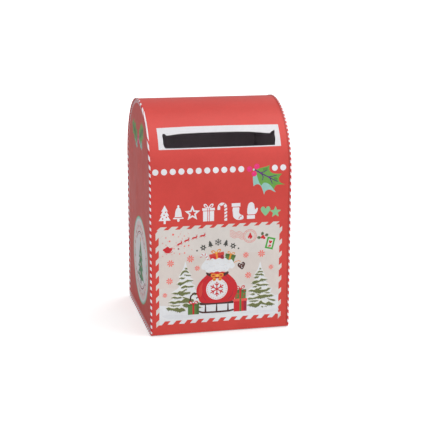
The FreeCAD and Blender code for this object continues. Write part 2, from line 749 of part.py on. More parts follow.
# ---- build and export -------------------------------------------------------------------------
pieces = [
    build_body_wrap(),
    build_end_panel("right_end_panel", turn=0),
    build_end_panel("left_end_panel", turn=180),
    build_base_panel(),
    build_rear_door(),
    build_body_leaf(),
    build_door_leaf(),
    build_hinge_pin(),
    build_rivets("body_leaf_rivets", dims.rivet_body_x,
                 head_face=body_leaf_in + dims.leaf_thick, tail_face=back_in),
    build_rivets("door_leaf_rivets", dims.rivet_door_x,
                 head_face=door_leaf_in + dims.leaf_thick, tail_face=door_in),
    build_lock_housing(),
    build_nut("lock_nut", ("nut_outline", "nut"), door_in, dims.nut_flats,
              dims.housing_radius + dims.fit_gap, dims.nut_thick),
    build_lock_plug(),
    build_lock_cam(),
    build_nut("cam_nut", ("cam_nut_outline", "cam_nut_blank"), cam_in - dims.fit_gap,
              dims.cam_nut_flats, dims.stud_radius + dims.stud_gap, dims.cam_nut_thick),
    build_key(),
]
doc.recompute()

for obj in doc.Objects:
    if "Invalid" in obj.State or "Error" in obj.State:
        raise RuntimeError("%s is %s" % (obj.Name, obj.State))
for piece in pieces:
    if piece.Shape.isNull() or not piece.Shape.isValid():
        raise RuntimeError("%s has no valid shape" % piece.Label)

os.makedirs("parts", exist_ok=True)
for piece in pieces:
    piece.Shape.exportStep(os.path.join("parts", piece.Label + ".step"))
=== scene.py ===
"""A printed tin letter box: a body sheet bent over a domed top, two pressed ends and a rear door.

The tin stands on z = 0. x runs from the left end to the right end, the front faces -y and the
door lies in the back, at +y. Sizes are in millimetres until a mesh is made.
Each sheet is a flat pattern, cut along the edges of its artwork and then folded into place.
"""
import math
import random
from contextlib import contextmanager

import bpy
from mathutils import Matrix, Vector
from mathutils.geometry import delaunay_2d_cdt


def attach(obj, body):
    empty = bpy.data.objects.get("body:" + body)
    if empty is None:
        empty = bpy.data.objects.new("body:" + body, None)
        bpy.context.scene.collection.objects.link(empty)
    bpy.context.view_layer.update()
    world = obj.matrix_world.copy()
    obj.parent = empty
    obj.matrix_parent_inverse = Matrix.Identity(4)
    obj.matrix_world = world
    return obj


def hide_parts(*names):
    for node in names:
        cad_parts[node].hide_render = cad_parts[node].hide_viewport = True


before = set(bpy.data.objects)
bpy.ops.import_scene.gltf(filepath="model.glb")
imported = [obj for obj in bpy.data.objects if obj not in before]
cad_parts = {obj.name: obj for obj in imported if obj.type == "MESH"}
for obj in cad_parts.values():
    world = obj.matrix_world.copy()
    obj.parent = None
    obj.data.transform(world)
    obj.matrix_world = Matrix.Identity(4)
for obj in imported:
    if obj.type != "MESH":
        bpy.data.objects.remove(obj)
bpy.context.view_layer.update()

MM = 0.001
HALF_Y = 49.0          # half depth of the D profile
DOME_Z = 111.0         # height of the dome's centre line
SHEET = 0.30           # tinplate thickness
SHELL = 48.65          # outer radius of the body sheet
HEM_Z = 0.35           # underside of the folded hem
SHEET_LENGTH = 2 * DOME_Z + math.pi * SHELL    # up the front, over the dome, down the back
DOT_PITCH = 5.96       # row of dots round the dome's foot
DOT_Z = 116.0
DOT_RADIUS = 2.1
HOLE_ZS = (42.0, 59.0, 76.0)     # small round holes beside the door and in its plate
HOLE_RADIUS = 0.95


# ---- inks ----
def srgb(red, green, blue):
    def linear(value):
        value /= 255.0
        return value / 12.92 if value <= 0.04045 else ((value + 0.055) / 1.055) ** 2.4
    return (linear(red), linear(green), linear(blue), 1.0)


INKS = {name: srgb(*levels) for name, levels in {
    "red": (205, 65, 58), "red_deep": (198, 36, 44), "red_light": (226, 84, 78),
    # the slot panel's white is greyer than the dots' white: painted shade, as the panel faces up
    # into more light
    "white": (226, 225, 229), "panel_white_shaded": (215, 213, 217), "paper": (212, 205, 200),
    "paper_warm": (211, 201, 195), "snow": (219, 221, 224), "snow_shade": (205, 209, 215),
    "salmon": (232, 112, 102), "postmark": (216, 148, 142), "magenta": (228, 44, 118),
    "leaf": (104, 160, 72), "leaf_dark": (84, 140, 60), "aqua": (146, 192, 182),
    "aqua_light": (176, 210, 202), "plum": (84, 44, 108), "violet": (106, 44, 132),
    "magenta_light": (236, 84, 142), "mint": (134, 190, 142), "olive": (106, 113, 68),
    "olive_dark": (80, 83, 58), "olive_light": (150, 150, 100), "frost": (224, 222, 210),
    "ground_shade": (213, 216, 220), "box_green": (92, 124, 64),
    "box_green_dark": (78, 106, 56), "stamp_green": (76, 158, 62), "brown": (74, 44, 42),
    "brown_light": (98, 62, 56), "gold": (222, 138, 54), "gold_light": (238, 178, 84),
    "charcoal": (74, 74, 70), "blush": (228, 208, 208), "wine": (150, 40, 58),
    "fir": (52, 128, 74), "fir_light": (92, 162, 104), "grey_green": (110, 118, 92),
    "tin": (196, 197, 198), "lacquer": (228, 217, 224)}.items()}


# ---- flat outlines ----
def path(points):
    """A list of number tuples, read from text such as "x,y x,y" where it is text."""
    if isinstance(points, str):
        return [tuple(map(float, entry.split(","))) for entry in points.split()]
    return points


def counterclockwise(points):
    area = sum(p[0] * q[1] - q[0] * p[1] for p, q in zip(points, points[1:] + points[:1]))
    return points[::-1] if area < 0 else points


def oval(x, y, radius, sides, radius_y=None, turn=0.0):
    radius_y = radius_y or radius
    cos, sin = math.cos(math.radians(turn)), math.sin(math.radians(turn))
    points = []
    for i in range(sides):
        angle = 2 * math.pi * i / sides
        along, up = radius * math.cos(angle), radius_y * math.sin(angle)
        points.append((x + along * cos - up * sin, y + along * sin + up * cos))
    return points


def round_box(x0, x1, z0, z1, radius, steps=6):
    points = []
    for x, z, start in ((x1 - radius, z0 + radius, -90), (x1 - radius, z1 - radius, 0),
                        (x0 + radius, z1 - radius, 90), (x0 + radius, z0 + radius, 180)):
        for i in range(steps + 1):
            angle = math.radians(start + 90 * i / steps)
            points.append((x + radius * math.cos(angle), z + radius * math.sin(angle)))
    return points


def catmull(points, steps):
    """A closed Catmull-Rom curve through the points."""
    count = len(points)
    out = []
    for i in range(count):
        corners = (points[i - 1], points[i], points[(i + 1) % count], points[(i + 2) % count])
        for k in range(steps):
            part = k / steps
            square, cube = part * part, part * part * part
            out.append(tuple(
                0.5 * (2 * here + (ahead - back) * part
                       + (2 * back - 5 * here + 4 * ahead - far) * square
                       + (3 * here - back - 3 * ahead + far) * cube)
                for back, here, ahead, far in zip(*corners)))
    return out


class Art:
    """Inked polygons in painter's order, in the flat coordinates of a sheet."""

    def __init__(self):
        self.shapes = []
        self.frame = ((1.0, 0.0, 0.0), (0.0, 1.0, 0.0))

    @contextmanager
    def at(self, x, y, scale=1.0, turn=0.0, stretch=1.0):
        """Shapes drawn inside this block lie in a local frame at x, y."""
        cos, sin = math.cos(math.radians(turn)), math.sin(math.radians(turn))
        x_x, x_y = cos * scale * stretch, -sin * scale
        y_x, y_y = sin * scale * stretch, cos * scale
        outer = self.frame
        self.frame = tuple(
            (by_x * x_x + by_y * y_x, by_x * x_y + by_y * y_y, by_x * x + by_y * y + shift)
            for by_x, by_y, shift in outer)
        yield
        self.frame = outer

    def motif(self, draw, x, y, size, *inks, turn=0.0, stretch=1.0):
        with self.at(x, y, size, turn, stretch):
            draw(self, *inks)

    def add(self, points, ink):
        clean = []
        for x, y in path(points):
            point = tuple(by_x * x + by_y * y + shift for by_x, by_y, shift in self.frame)
            if not clean or math.dist(point, clean[-1]) > 0.004:
                clean.append(point)
        if len(clean) > 2 and math.dist(clean[0], clean[-1]) < 0.004:
            clean.pop()
        if len(clean) >= 3:
            self.shapes.append((counterclockwise(clean), ink))

    def disc(self, x, y, radius, ink, sides=None, radius_y=None, turn=0.0):
        sides = sides or (28 if radius > 2.5 else 20 if radius > 1 else 12)
        self.add(oval(x, y, radius, sides, radius_y, turn), ink)

    def dots(self, entries, sides, ink=None):
        """Discs from text of x,y,radius entries, each ending in its own ink if none is given."""
        for entry in entries.split():
            x, y, radius, *own = entry.split(",")
            self.disc(float(x), float(y), float(radius), ink or own[0], sides)

    def rect(self, x0, x1, y0, y1, ink):
        self.add([(x0, y0), (x1, y0), (x1, y1), (x0, y1)], ink)

    def line(self, x0, y0, x1, y1, width, ink, end_width=None):
        """A straight stroke with round ends, tapering to end_width."""
        end_width = width if end_width is None else end_width
        run, rise = x1 - x0, y1 - y0
        length = math.hypot(run, rise)
        normal_x, normal_y = -rise / length, run / length
        start = math.atan2(normal_y, normal_x)
        points = []
        for x, y, half, side, base in ((x0, y0, width / 2, 1, start),
                                       (x1, y1, end_width / 2, -1, start + math.pi)):
            points.append((x + side * normal_x * half, y + side * normal_y * half))
            for i in range(1, 5):
                angle = base + math.pi * i / 5
                points.append((x + math.cos(angle) * half, y + math.sin(angle) * half))
            points.append((x - side * normal_x * half, y - side * normal_y * half))
        self.add(points, ink)

    def stroke(self, points, width, ink, end_width=None):
        """A bent stroke as one ribbon polygon."""
        end_width = width if end_width is None else end_width
        points = path(points)
        last = len(points) - 1
        left, right = [], []
        for i, (x, y) in enumerate(points):
            x0, y0 = points[max(i - 1, 0)]
            x1, y1 = points[min(i + 1, last)]
            length = math.hypot(x1 - x0, y1 - y0)
            normal_x, normal_y = -(y1 - y0) / length, (x1 - x0) / length
            half = (width + (end_width - width) * i / last) / 2
            left.append((x + normal_x * half, y + normal_y * half))
            right.append((x - normal_x * half, y - normal_y * half))
        self.add(left + right[::-1], ink)

    def arc(self, x, y, radius, width, start, end, ink, steps=18):
        points = []
        for edge, order in ((radius + width / 2, range(steps + 1)),
                            (radius - width / 2, range(steps, -1, -1))):
            for i in order:
                angle = math.radians(start + (end - start) * i / steps)
                points.append((x + edge * math.cos(angle), y + edge * math.sin(angle)))
        self.add(points, ink)

    def smooth(self, points, ink, steps=4):
        self.add(catmull(path(points), steps), ink)


# ---- motifs, each about 2 units across ----
def star(art, ink, points=5, inner=0.45):
    outline = []
    for i in range(points * 2):
        radius = 1.0 if i % 2 == 0 else inner
        angle = math.pi / 2 + math.pi * i / points
        outline.append((radius * math.cos(angle), radius * math.sin(angle)))
    art.add(outline, ink)


def double_star(art, ink, back):
    star(art, ink)
    art.motif(star, 0, 0, 0.50, back)


def pierced_star(art, ink, back):
    star(art, ink, 6, 0.50)
    art.disc(0, 0, 0.22, back, 10)


def flake(art, ink, width=0.17, branched=True):
    for i in range(6):
        angle = math.pi / 2 + 2 * math.pi * i / 6
        cos, sin = math.cos(angle), math.sin(angle)
        art.line(0, 0, cos * 0.93, sin * 0.93, width, ink)
        if branched:
            for side in (-1, 1):
                lean = angle + side * math.radians(48)
                x, y = cos * 0.5, sin * 0.5
                art.line(x, y, x + math.cos(lean) * 0.34, y + math.sin(lean) * 0.34,
                         width * 0.85, ink)
    art.disc(0, 0, width * 1.1, ink, 8)


def snow_flower(art, ink, centre):
    """Eight short petals round a paler centre."""
    for i in range(8):
        angle = math.pi / 8 + 2 * math.pi * i / 8
        cos, sin = math.cos(angle), math.sin(angle)
        art.line(cos * 0.26, sin * 0.26, cos * 0.80, sin * 0.80, 0.24, ink, 0.40)
        art.disc(cos * 0.95, sin * 0.95, 0.17, ink, 8)
    art.disc(0, 0, 0.28, centre, 10)
    art.disc(0, 0, 0.17, ink, 8)


def snow_flowers(art, places, ink, centre):
    """Snow flowers at x, y, size."""
    for x, y, size in path(places):
        art.motif(snow_flower, x, y, size, ink, centre)


def tree(art, ink):
    art.rect(-0.13, 0.13, -1.0, -0.62, ink)
    art.add("""-0.74,-0.66 0.74,-0.66 0.36,-0.12 0.56,-0.16 0.24,0.36 0.42,0.32 0,1
        -0.42,0.32 -0.24,0.36 -0.56,-0.16 -0.36,-0.12""", ink)


def dotted_tree(art, ink, back):
    tree(art, ink)
    art.dots("-0.24,-0.44,0.085 0.22,-0.30,0.085 -0.06,-0.06,0.085 0.12,0.26,0.085", 9, back)


def bell(art, ink, back):
    art.smooth("""-0.78,-0.52 -0.52,-0.30 -0.44,0.18 -0.28,0.58 0,0.74 0.28,0.58 0.44,0.18
        0.52,-0.30 0.78,-0.52 0,-0.56""", ink)
    art.disc(0, 0.84, 0.15, ink, 10)
    art.disc(0, -0.68, 0.19, ink, 10)
    art.stroke("-0.55,-0.36 0,-0.40 0.55,-0.36", 0.09, back)


def bow(art, x, ink, loop, inner_ink, inner_loop, inner_steps=3):
    """Two mirrored loops; their points are given as offset from x, y."""
    for side in (-1, 1):
        for points, colour, steps in ((loop, ink, 4), (inner_loop, inner_ink, inner_steps)):
            art.smooth([(x + side * out, y) for out, y in path(points)], colour, steps)


def gift(art, ink, back):
    art.rect(-0.70, 0.70, -0.95, 0.26, ink)
    art.rect(-0.80, 0.80, 0.22, 0.50, ink)
    art.rect(-0.70, 0.70, 0.16, 0.22, back)
    art.rect(-0.15, -0.07, -0.95, 0.50, back)
    art.rect(0.07, 0.15, -0.95, 0.50, back)
    bow(art, 0, ink, "0,0.52 0.30,0.94 0.62,0.92 0.52,0.62",
        back, "0.16,0.62 0.34,0.82 0.47,0.80 0.40,0.66", 4)


def cane(art, ink, back):
    points = [(0.18, -0.98), (0.18, 0.36)]
    for i in range(1, 11):
        angle = math.pi * i / 10
        points.append((-0.20 + 0.38 * math.cos(angle), 0.46 + 0.40 * math.sin(angle)))
    points.append((-0.58, 0.24))
    art.stroke(points, 0.30, ink)
    for y in (-0.78, -0.42, -0.06, 0.30):
        art.add([(0.03, y), (0.33, y + 0.16), (0.33, y + 0.28), (0.03, y + 0.12)], back)
    art.add("0.12,0.86 -0.06,0.66 -0.16,0.70 0.02,0.92", back)
    art.add("-0.44,0.80 -0.36,0.60 -0.46,0.56 -0.55,0.72", back)


def stocking(art, ink, back):
    art.smooth("""-0.42,0.42 0.26,0.42 0.26,-0.14 0.42,-0.36 0.72,-0.52 0.74,-0.84 0.40,-0.96
        0,-0.92 -0.34,-0.66 -0.42,-0.30""", ink)
    art.rect(-0.56, 0.40, 0.50, 0.88, ink)
    art.rect(-0.44, 0.28, 0.42, 0.50, back)
    art.arc(0.62, -0.92, 0.38, 0.09, 95, 172, back, 6)


def mitten(art, ink, back):
    art.smooth("""-0.46,-0.42 -0.50,0.30 -0.34,0.78 0.02,0.94 0.34,0.74 0.44,0.30 0.52,0.10
        0.74,0.28 0.86,0.16 0.74,-0.22 0.42,-0.44""", ink)
    art.rect(-0.56, 0.48, -0.94, -0.52, ink)
    art.rect(-0.46, 0.40, -0.52, -0.44, back)


def heart(art, ink):
    art.smooth("""0,-0.86 -0.56,-0.30 -0.84,0.22 -0.62,0.66 -0.24,0.66 0,0.34 0.24,0.66
        0.62,0.66 0.84,0.22 0.56,-0.30""", ink)


def holly_leaf(art, x0, y0, x1, y1, width, ink, bite=0.34):
    """A leaf from its stalk to its tip: pointed lobes with hollow edges between them."""
    run, rise = x1 - x0, y1 - y0
    length = math.hypot(run, rise)
    unit_x, unit_y = run / length, rise / length
    stations = [(0.0, 0.0)]          # part of the length, half width
    for i in range(3):
        part = (i + 0.55) / 3.9
        bulge = math.sin(math.pi * min(part * 0.92 + 0.10, 1.0)) ** 0.7
        stations.append((part, width / 2 * bulge))
    stations.append((1.0, 0.0))

    def edge(side):
        out = []
        for k, ((part0, half0), (part1, half1)) in enumerate(zip(stations, stations[1:])):
            hollow = 1.0 if k else -0.225       # the piece at the stalk swells instead
            for m in range(6):
                step = m / 6
                dip = bite * width * 0.5 * math.sin(math.pi * step) * hollow
                part = part0 + (part1 - part0) * step
                half = max(half0 + (half1 - half0) * step - dip, 0.02)
                out.append((x0 + unit_x * length * part - unit_y * half * side,
                            y0 + unit_y * length * part + unit_x * half * side))
        return out

    art.add(edge(1) + [(x1, y1)] + edge(-1)[:0:-1], ink)


def veins(art, x0, y0, x1, y1, width, ink, line_width):
    run, rise = x1 - x0, y1 - y0
    base = math.atan2(rise, run)
    art.line(x0, y0, x0 + run * 0.86, y0 + rise * 0.86, line_width * 1.3, ink, line_width * 0.5)
    for i in range(3):
        part = 0.24 + 0.22 * i
        length = width * 0.36 * math.sin(math.pi * min(part + 0.18, 0.95))
        x, y = x0 + run * part, y0 + rise * part
        for side in (-1, 1):
            angle = base + side * math.radians(42)
            art.line(x, y, x + math.cos(angle) * length, y + math.sin(angle) * length,
                     line_width * 0.8, ink, line_width * 0.4)


# ---- flat pattern to mesh ----
def triangulate(outline, holes, art, cuts, base_ink):
    """Cuts the sheet along every artwork edge: flat points, triangles, an ink per triangle."""
    coords, edges, faces = [], [], []

    def put(points):
        start = len(coords)
        coords.extend(Vector((p[0], p[1])) for p in points)
        return list(range(start, start + len(points)))

    for loop in [outline] + holes:
        faces.append(put(counterclockwise(loop)))
    first = len(faces)
    for points, _ in art.shapes:
        faces.append(put(points))
    for cut in cuts:
        ids = put(cut)
        edges.extend(zip(ids, ids[1:]))
    verts, _, tris, _, _, origins = delaunay_2d_cdt(coords, edges, faces, 0, 1e-4, True)
    kept, inks = [], []
    for tri, origin in zip(tris, origins):
        if 0 not in origin or any(1 <= k < first for k in origin):
            continue
        top = max(origin)
        inks.append(art.shapes[top - first][1] if top >= first else base_ink)
        kept.append(tri)
    used = sorted({i for tri in kept for i in tri})
    index = {old: new for new, old in enumerate(used)}
    flat = [(verts[i].x, verts[i].y) for i in used]
    return flat, [tuple(index[i] for i in tri) for tri in kept], inks


def sheet_mesh(name, pattern, mapper, flip=False):
    """Folds a flat pattern into a closed sheet of tinplate, lacquered inside.

    The mapper gives the outer face's place and normal. flip turns the triangles over where the
    map mirrors the pattern. Ink and bare metal go into corner attributes.
    """
    flat, tris, inks = pattern
    placed = [mapper(x, y) for x, y in flat]
    outer = [place for place, _ in placed]
    normals = [normal for _, normal in placed]
    count = len(outer)
    inner = [place - normal * SHEET for place, normal in placed]
    verts = [place * MM for place in outer + inner]
    faces, colours, metals, corner_normals = [], [], [], []

    def face(corners, ink, metal, directions):
        faces.append(corners)
        colours.extend(INKS[ink] * len(corners))
        metals.extend([metal] * len(corners))
        corner_normals.extend(directions)

    edges = {}
    for (a, b, c), ink in zip(tris, inks):
        corners = (a, c, b) if flip else (a, b, c)
        face(corners, ink, 0.0, [normals[i] for i in corners])
        for edge in zip(corners, corners[1:] + corners[:1]):
            edges[edge] = True
    for a, b, c in tris:
        corners = (a, b, c) if flip else (a, c, b)
        # the original corner order of the outside, turned over
        face(tuple(i + count for i in corners), "lacquer", 0.12, [-normals[i] for i in corners])
    for a, b in edges:
        if (b, a) in edges:
            continue
        quad = (b, a, a + count, b + count)
        normal = (verts[a] - verts[b]).cross(verts[b + count] - verts[b])
        normal = normal.normalized() if normal.length > 0 else Vector((0, 0, 1))
        face(quad, "tin", 1.0, [normal] * 4)
    mesh = bpy.data.meshes.new(name)
    mesh.from_pydata(verts, [], faces)
    mesh.attributes.new("ink", "FLOAT_COLOR", "CORNER")
    mesh.attributes.new("metal", "FLOAT", "CORNER")
    mesh.attributes["ink"].data.foreach_set("color", colours)
    mesh.attributes["metal"].data.foreach_set("value", metals)
    mesh.polygons.foreach_set("use_smooth", [True] * len(faces))
    mesh.update()
    mesh.normals_split_custom_set([tuple(normal) for normal in corner_normals])
    obj = bpy.data.objects.new(name, mesh)
    bpy.context.scene.collection.objects.link(obj)
    return obj


# ---- node trees and materials ----
class Tree:
    """Adds nodes to a node tree. An input takes a value or a socket."""

    def __init__(self, owner):
        owner.use_nodes = True
        self.tree = owner.node_tree
        self.tree.nodes.clear()

    def node(self, kind, inputs={}, **settings):
        node = self.tree.nodes.new("ShaderNode" + kind)
        for key, value in settings.items():
            setattr(node, key, value)
        for key, value in inputs.items():
            if hasattr(value, "links"):
                self.tree.links.new(value, node.inputs[key])
            else:
                node.inputs[key].default_value = value
        return node

    def span(self, value, within, to, **settings):
        """Maps the range `within` onto the range `to`."""
        return self.node("MapRange", {
            "Value": value, "From Min": within[0], "From Max": within[1],
            "To Min": to[0], "To Max": to[1]}, **settings).outputs[0]


class Material(Tree):
    def __init__(self, name):
        self.material = bpy.data.materials.new(name)
        super().__init__(self.material)
        self.coord = self.node("TexCoord").outputs["Object"]

    def surface(self, inputs):
        """Closes the material with a Principled shader."""
        shader = self.node("BsdfPrincipled", inputs)
        self.node("OutputMaterial", {0: shader.outputs[0]})
        return self.material

    def noise(self, scale, detail=3.0, rough=0.5, coord=None):
        return self.node("TexNoise", {
            "Vector": coord or self.coord, "Scale": scale, "Detail": detail,
            "Roughness": rough}).outputs[0]

    def stretch(self, scale):
        return self.node("Mapping", {"Vector": self.coord, "Scale": scale}).outputs[0]

    def math(self, operation, first, second, clamp=False):
        return self.node("Math", {0: first, 1: second},
                         operation=operation, use_clamp=clamp).outputs[0]

    def times(self, first, second, clamp=False):
        return self.math("MULTIPLY", first, second, clamp)

    def mix(self, factor, first, second, mode="MIX"):
        return self.node("Mix", {0: factor, 6: first, 7: second},
                         data_type="RGBA", blend_type=mode).outputs[2]

    def attribute(self, name):
        return self.node("Attribute", attribute_name=name).outputs

    def bump(self, height, strength, distance, normal=None):
        inputs = {"Strength": strength, "Distance": distance, "Height": height}
        if normal is not None:
            inputs["Normal"] = normal
        return self.node("Bump", inputs).outputs[0]


def printed_tin():
    """Printed tinplate: ink with a fine grain, satin varnish and light handling wear."""
    mat = Material("printed_tin")
    # the printing screen and small shifts of ink density
    dots = mat.node("TexVoronoi", {"Vector": mat.coord, "Scale": 2600.0}).outputs["Distance"]
    screen = mat.span(dots, within=(0.1, 0.7), to=(1.03, 0.965))
    density = mat.span(mat.noise(scale=38.0, detail=4.0, rough=0.55),
                       within=(0.3, 0.7), to=(0.955, 1.04))
    blotch = mat.span(mat.noise(scale=420.0, detail=2.0, rough=0.6),
                      within=(0.25, 0.75), to=(0.975, 1.025))
    gain = mat.times(mat.times(screen, density), blotch)
    inked = mat.mix(1.0, mat.attribute("ink")["Color"], gain, "MULTIPLY")
    # tiny scuffs that show the tin under the ink
    zone = mat.span(mat.noise(scale=60.0, detail=5.0, rough=0.7),
                    within=(0.62, 0.72), to=(0.0, 1.0))
    scratch = mat.noise(scale=900.0, detail=2.0, coord=mat.stretch((1.0, 1.0, 0.12)))
    scuff = mat.times(mat.span(scratch, within=(0.70, 0.76), to=(0.0, 1.0)), zone, True)
    scuff_amount, scuff_metal = 0.35, 0.8
    scuff = mat.times(scuff, scuff_amount)
    rough = mat.span(mat.noise(scale=75.0, detail=4.0, rough=0.6),
                     within=(0.3, 0.7), to=(0.34, 0.44))
    smear = mat.span(mat.noise(scale=14.0, detail=3.0, rough=0.6),
                     within=(0.35, 0.65), to=(-0.03, 0.04))
    peel = mat.bump(mat.noise(scale=1500.0, detail=2.0), strength=0.10, distance=0.00004)
    dents = mat.bump(mat.noise(scale=26.0, detail=2.0, rough=0.45),
                     strength=0.22, distance=0.0009, normal=peel)
    return mat.surface({
        "Base Color": mat.mix(scuff, inked, INKS["tin"]),
        "Metallic": mat.math("MAXIMUM", mat.attribute("metal")["Fac"],
                             mat.times(scuff, scuff_metal), True),
        "Roughness": mat.math("ADD", rough, smear, True),
        "Specular IOR Level": 0.38, "Coat Weight": 0.12, "Coat Roughness": 0.22,
        "Coat IOR": 1.48, "Normal": dents})


def metal_material(name, colour, rough, grain, grain_scale=900.0, tarnish=None, metallic=1.0,
                   age=0.35):
    """Bare or plated metal with a drawn grain, fine scratches and a slight tarnish."""
    mat = Material(name)
    lines = mat.noise(scale=grain_scale, detail=3.0, rough=0.55, coord=mat.stretch(grain))
    cloud = mat.noise(scale=160.0, detail=4.0, rough=0.6)
    spots = mat.span(mat.noise(scale=700.0, detail=3.0, rough=0.6),
                     within=(0.60, 0.72), to=(0.0, 1.0))
    dull = tarnish or tuple(level * 0.72 for level in colour[:3]) + (1,)
    bright = tuple(min(level * 1.2, 1.0) for level in colour[:3]) + (1,)
    tint = mat.mix(mat.span(cloud, within=(0.38, 0.72), to=(0.0, age)), colour, dull)
    tint = mat.mix(mat.times(spots, age * 0.6), tint, dull)
    tint = mat.mix(1.0, tint, mat.span(lines, within=(0.3, 0.7), to=(0.95, 1.05)), "MULTIPLY")
    scratch = mat.noise(scale=2400.0, detail=2.0, coord=mat.stretch((0.08, 1.0, 1.0)))
    scratch = mat.span(scratch, within=(0.68, 0.76), to=(0.0, 0.4))
    drawn = mat.bump(lines, strength=0.10, distance=0.00003)
    return mat.surface({
        "Base Color": mat.mix(scratch, tint, bright),
        "Metallic": metallic,
        "Roughness": mat.math(
            "ADD", mat.span(lines, within=(0.3, 0.7), to=(rough - 0.04, rough + 0.06)),
            mat.span(cloud, within=(0.3, 0.7), to=(-0.03, 0.06)), True),
        "Normal": mat.bump(scratch, strength=0.12, distance=0.00002, normal=drawn)})


# ---- body sheet: x across, y up the front, over the dome and down the back ----
FOLD = 0.40                       # radius of the fold above the hem
HEM_END = 44.0                    # the hem's inner edge, from the middle
FOLD_TOP = HEM_Z + FOLD
FOLD_LOW = FOLD_TOP - FOLD * math.pi / 2
HEM_EDGE = FOLD_LOW - (SHELL - FOLD - HEM_END)
SHEET_HALF_X = 49.6
BEND = 0.42                       # bend radius of the lip over the slot
LIP_TURN = math.radians(128)
LIP = BEND * LIP_TURN + 2.6
LIP_HALF_X = 36.95
# visible upper edge of the slot: x, height
SLOT_TOP = path("""-39.5,141.2 -35,141.55 -30,142.2 -26,142.65 -13,142.95 0,143 12,142.9
    21,142.6 29,141.8 33,141.15 36,140.85 39.7,140.8""")


def dome_length(height):
    """Length over a dome of HALF_Y, from the foot, as length along the body sheet."""
    return height if height <= DOME_Z else DOME_Z + (height - DOME_Z) * SHELL / HALF_Y


def over_dome(points):
    return [(x, dome_length(y)) for x, y in path(points)]


def bend_line(x):
    """Where the lip starts to bend, just above the slot's visible edge."""
    for (x0, y0), (x1, y1) in zip(SLOT_TOP, SLOT_TOP[1:]):
        if x <= x1:
            part = (x - x0) / (x1 - x0)
            part = part * part * (3 - 2 * part) * 0.5 + part * 0.5
            return dome_length(y0 + (y1 - y0) * part) + BEND * 0.95


def profile(along):
    """Place and outward normal of the sheet at a length along it: (y, z), (y, z)."""
    if along > SHEET_LENGTH / 2:
        (y, z), (normal_y, normal_z) = profile(SHEET_LENGTH - along)
        return (-y, z), (-normal_y, normal_z)
    if along >= DOME_Z:
        angle = (along - DOME_Z) / SHELL
        cos, sin = math.cos(angle), math.sin(angle)
        return (-SHELL * cos, DOME_Z + SHELL * sin), (-cos, sin)
    if along >= FOLD_TOP:
        return (-SHELL, along), (-1.0, 0.0)
    if along >= FOLD_LOW:
        angle = (FOLD_TOP - along) / FOLD
        cos, sin = math.cos(angle), math.sin(angle)
        return (-(SHELL - FOLD) - FOLD * cos, FOLD_TOP - FOLD * sin), (-cos, -sin)
    return (-(SHELL - FOLD) + (FOLD_LOW - along), HEM_Z), (0.0, -1.0)


def wrap_map(x, along):
    if not (-LIP_HALF_X < x < LIP_HALF_X and dome_length(134.0) < along < bend_line(x)):
        (y, z), (normal_y, normal_z) = profile(along)
        return Vector((x, y, z)), Vector((0, normal_y, normal_z))
    # the lip rolls inwards below its bend line
    bend = bend_line(x)
    (y, z), (normal_y, normal_z) = profile(bend)
    past = bend - along
    down_y, down_z = -normal_z, normal_y
    if down_z > 0:
        down_y, down_z = -down_y, -down_z
    turn = min(past / BEND, LIP_TURN)
    cos, sin = math.cos(turn), math.sin(turn)
    down, inward = BEND * sin, BEND * (1 - cos)
    rest = past - turn * BEND
    if rest > 0:
        down += rest * cos
        inward += rest * sin
    place = Vector((x, y + down_y * down - normal_y * inward,
                    z + down_z * down - normal_z * inward))
    normal = Vector((0, normal_y * cos + down_y * sin, normal_z * cos + down_z * sin))
    return place, normal.normalized()


def front_art():
    art = Art()
    # white panel round the slot, in a greyer white than the dots: painted shade that offsets the
    # extra light on the upturned dome
    art.add(over_dome("""-42.4,131.2 0,131.05 43.2,131.1 43.2,147.6 10,148.1 -20,148.1
        -42.4,147.5"""), "panel_white_shaded")
    dots_y = dome_length(DOT_Z)
    for x in [-45.6 + DOT_PITCH * k for k in range(11)] + [37.9, 43.9]:
        art.disc(x, dots_y, DOT_RADIUS, "white", 26)
    front_holly(art)
    # ornaments over the label: motif, x, size, stretch
    for draw, x, size, stretch in (
            (dotted_tree, -39.5, 6.5, 0.86), (bell, -30.0, 6.3, 0.78),
            (double_star, -20.2, 5.6, 1.0), (gift, -8.9, 6.4, 0.86), (cane, 2.1, 6.5, 1.0),
            (stocking, 11.0, 6.5, 0.98), (mitten, 21.4, 6.3, 0.86)):
        art.motif(draw, x, 86.6, size, "white", "red", stretch=stretch)
    art.motif(heart, 31.6, 86.0, 4.2, "mint")
    art.motif(star, 38.8, 84.7, 4.2, "mint", 5, 0.46)
    label_art(art)
    return art


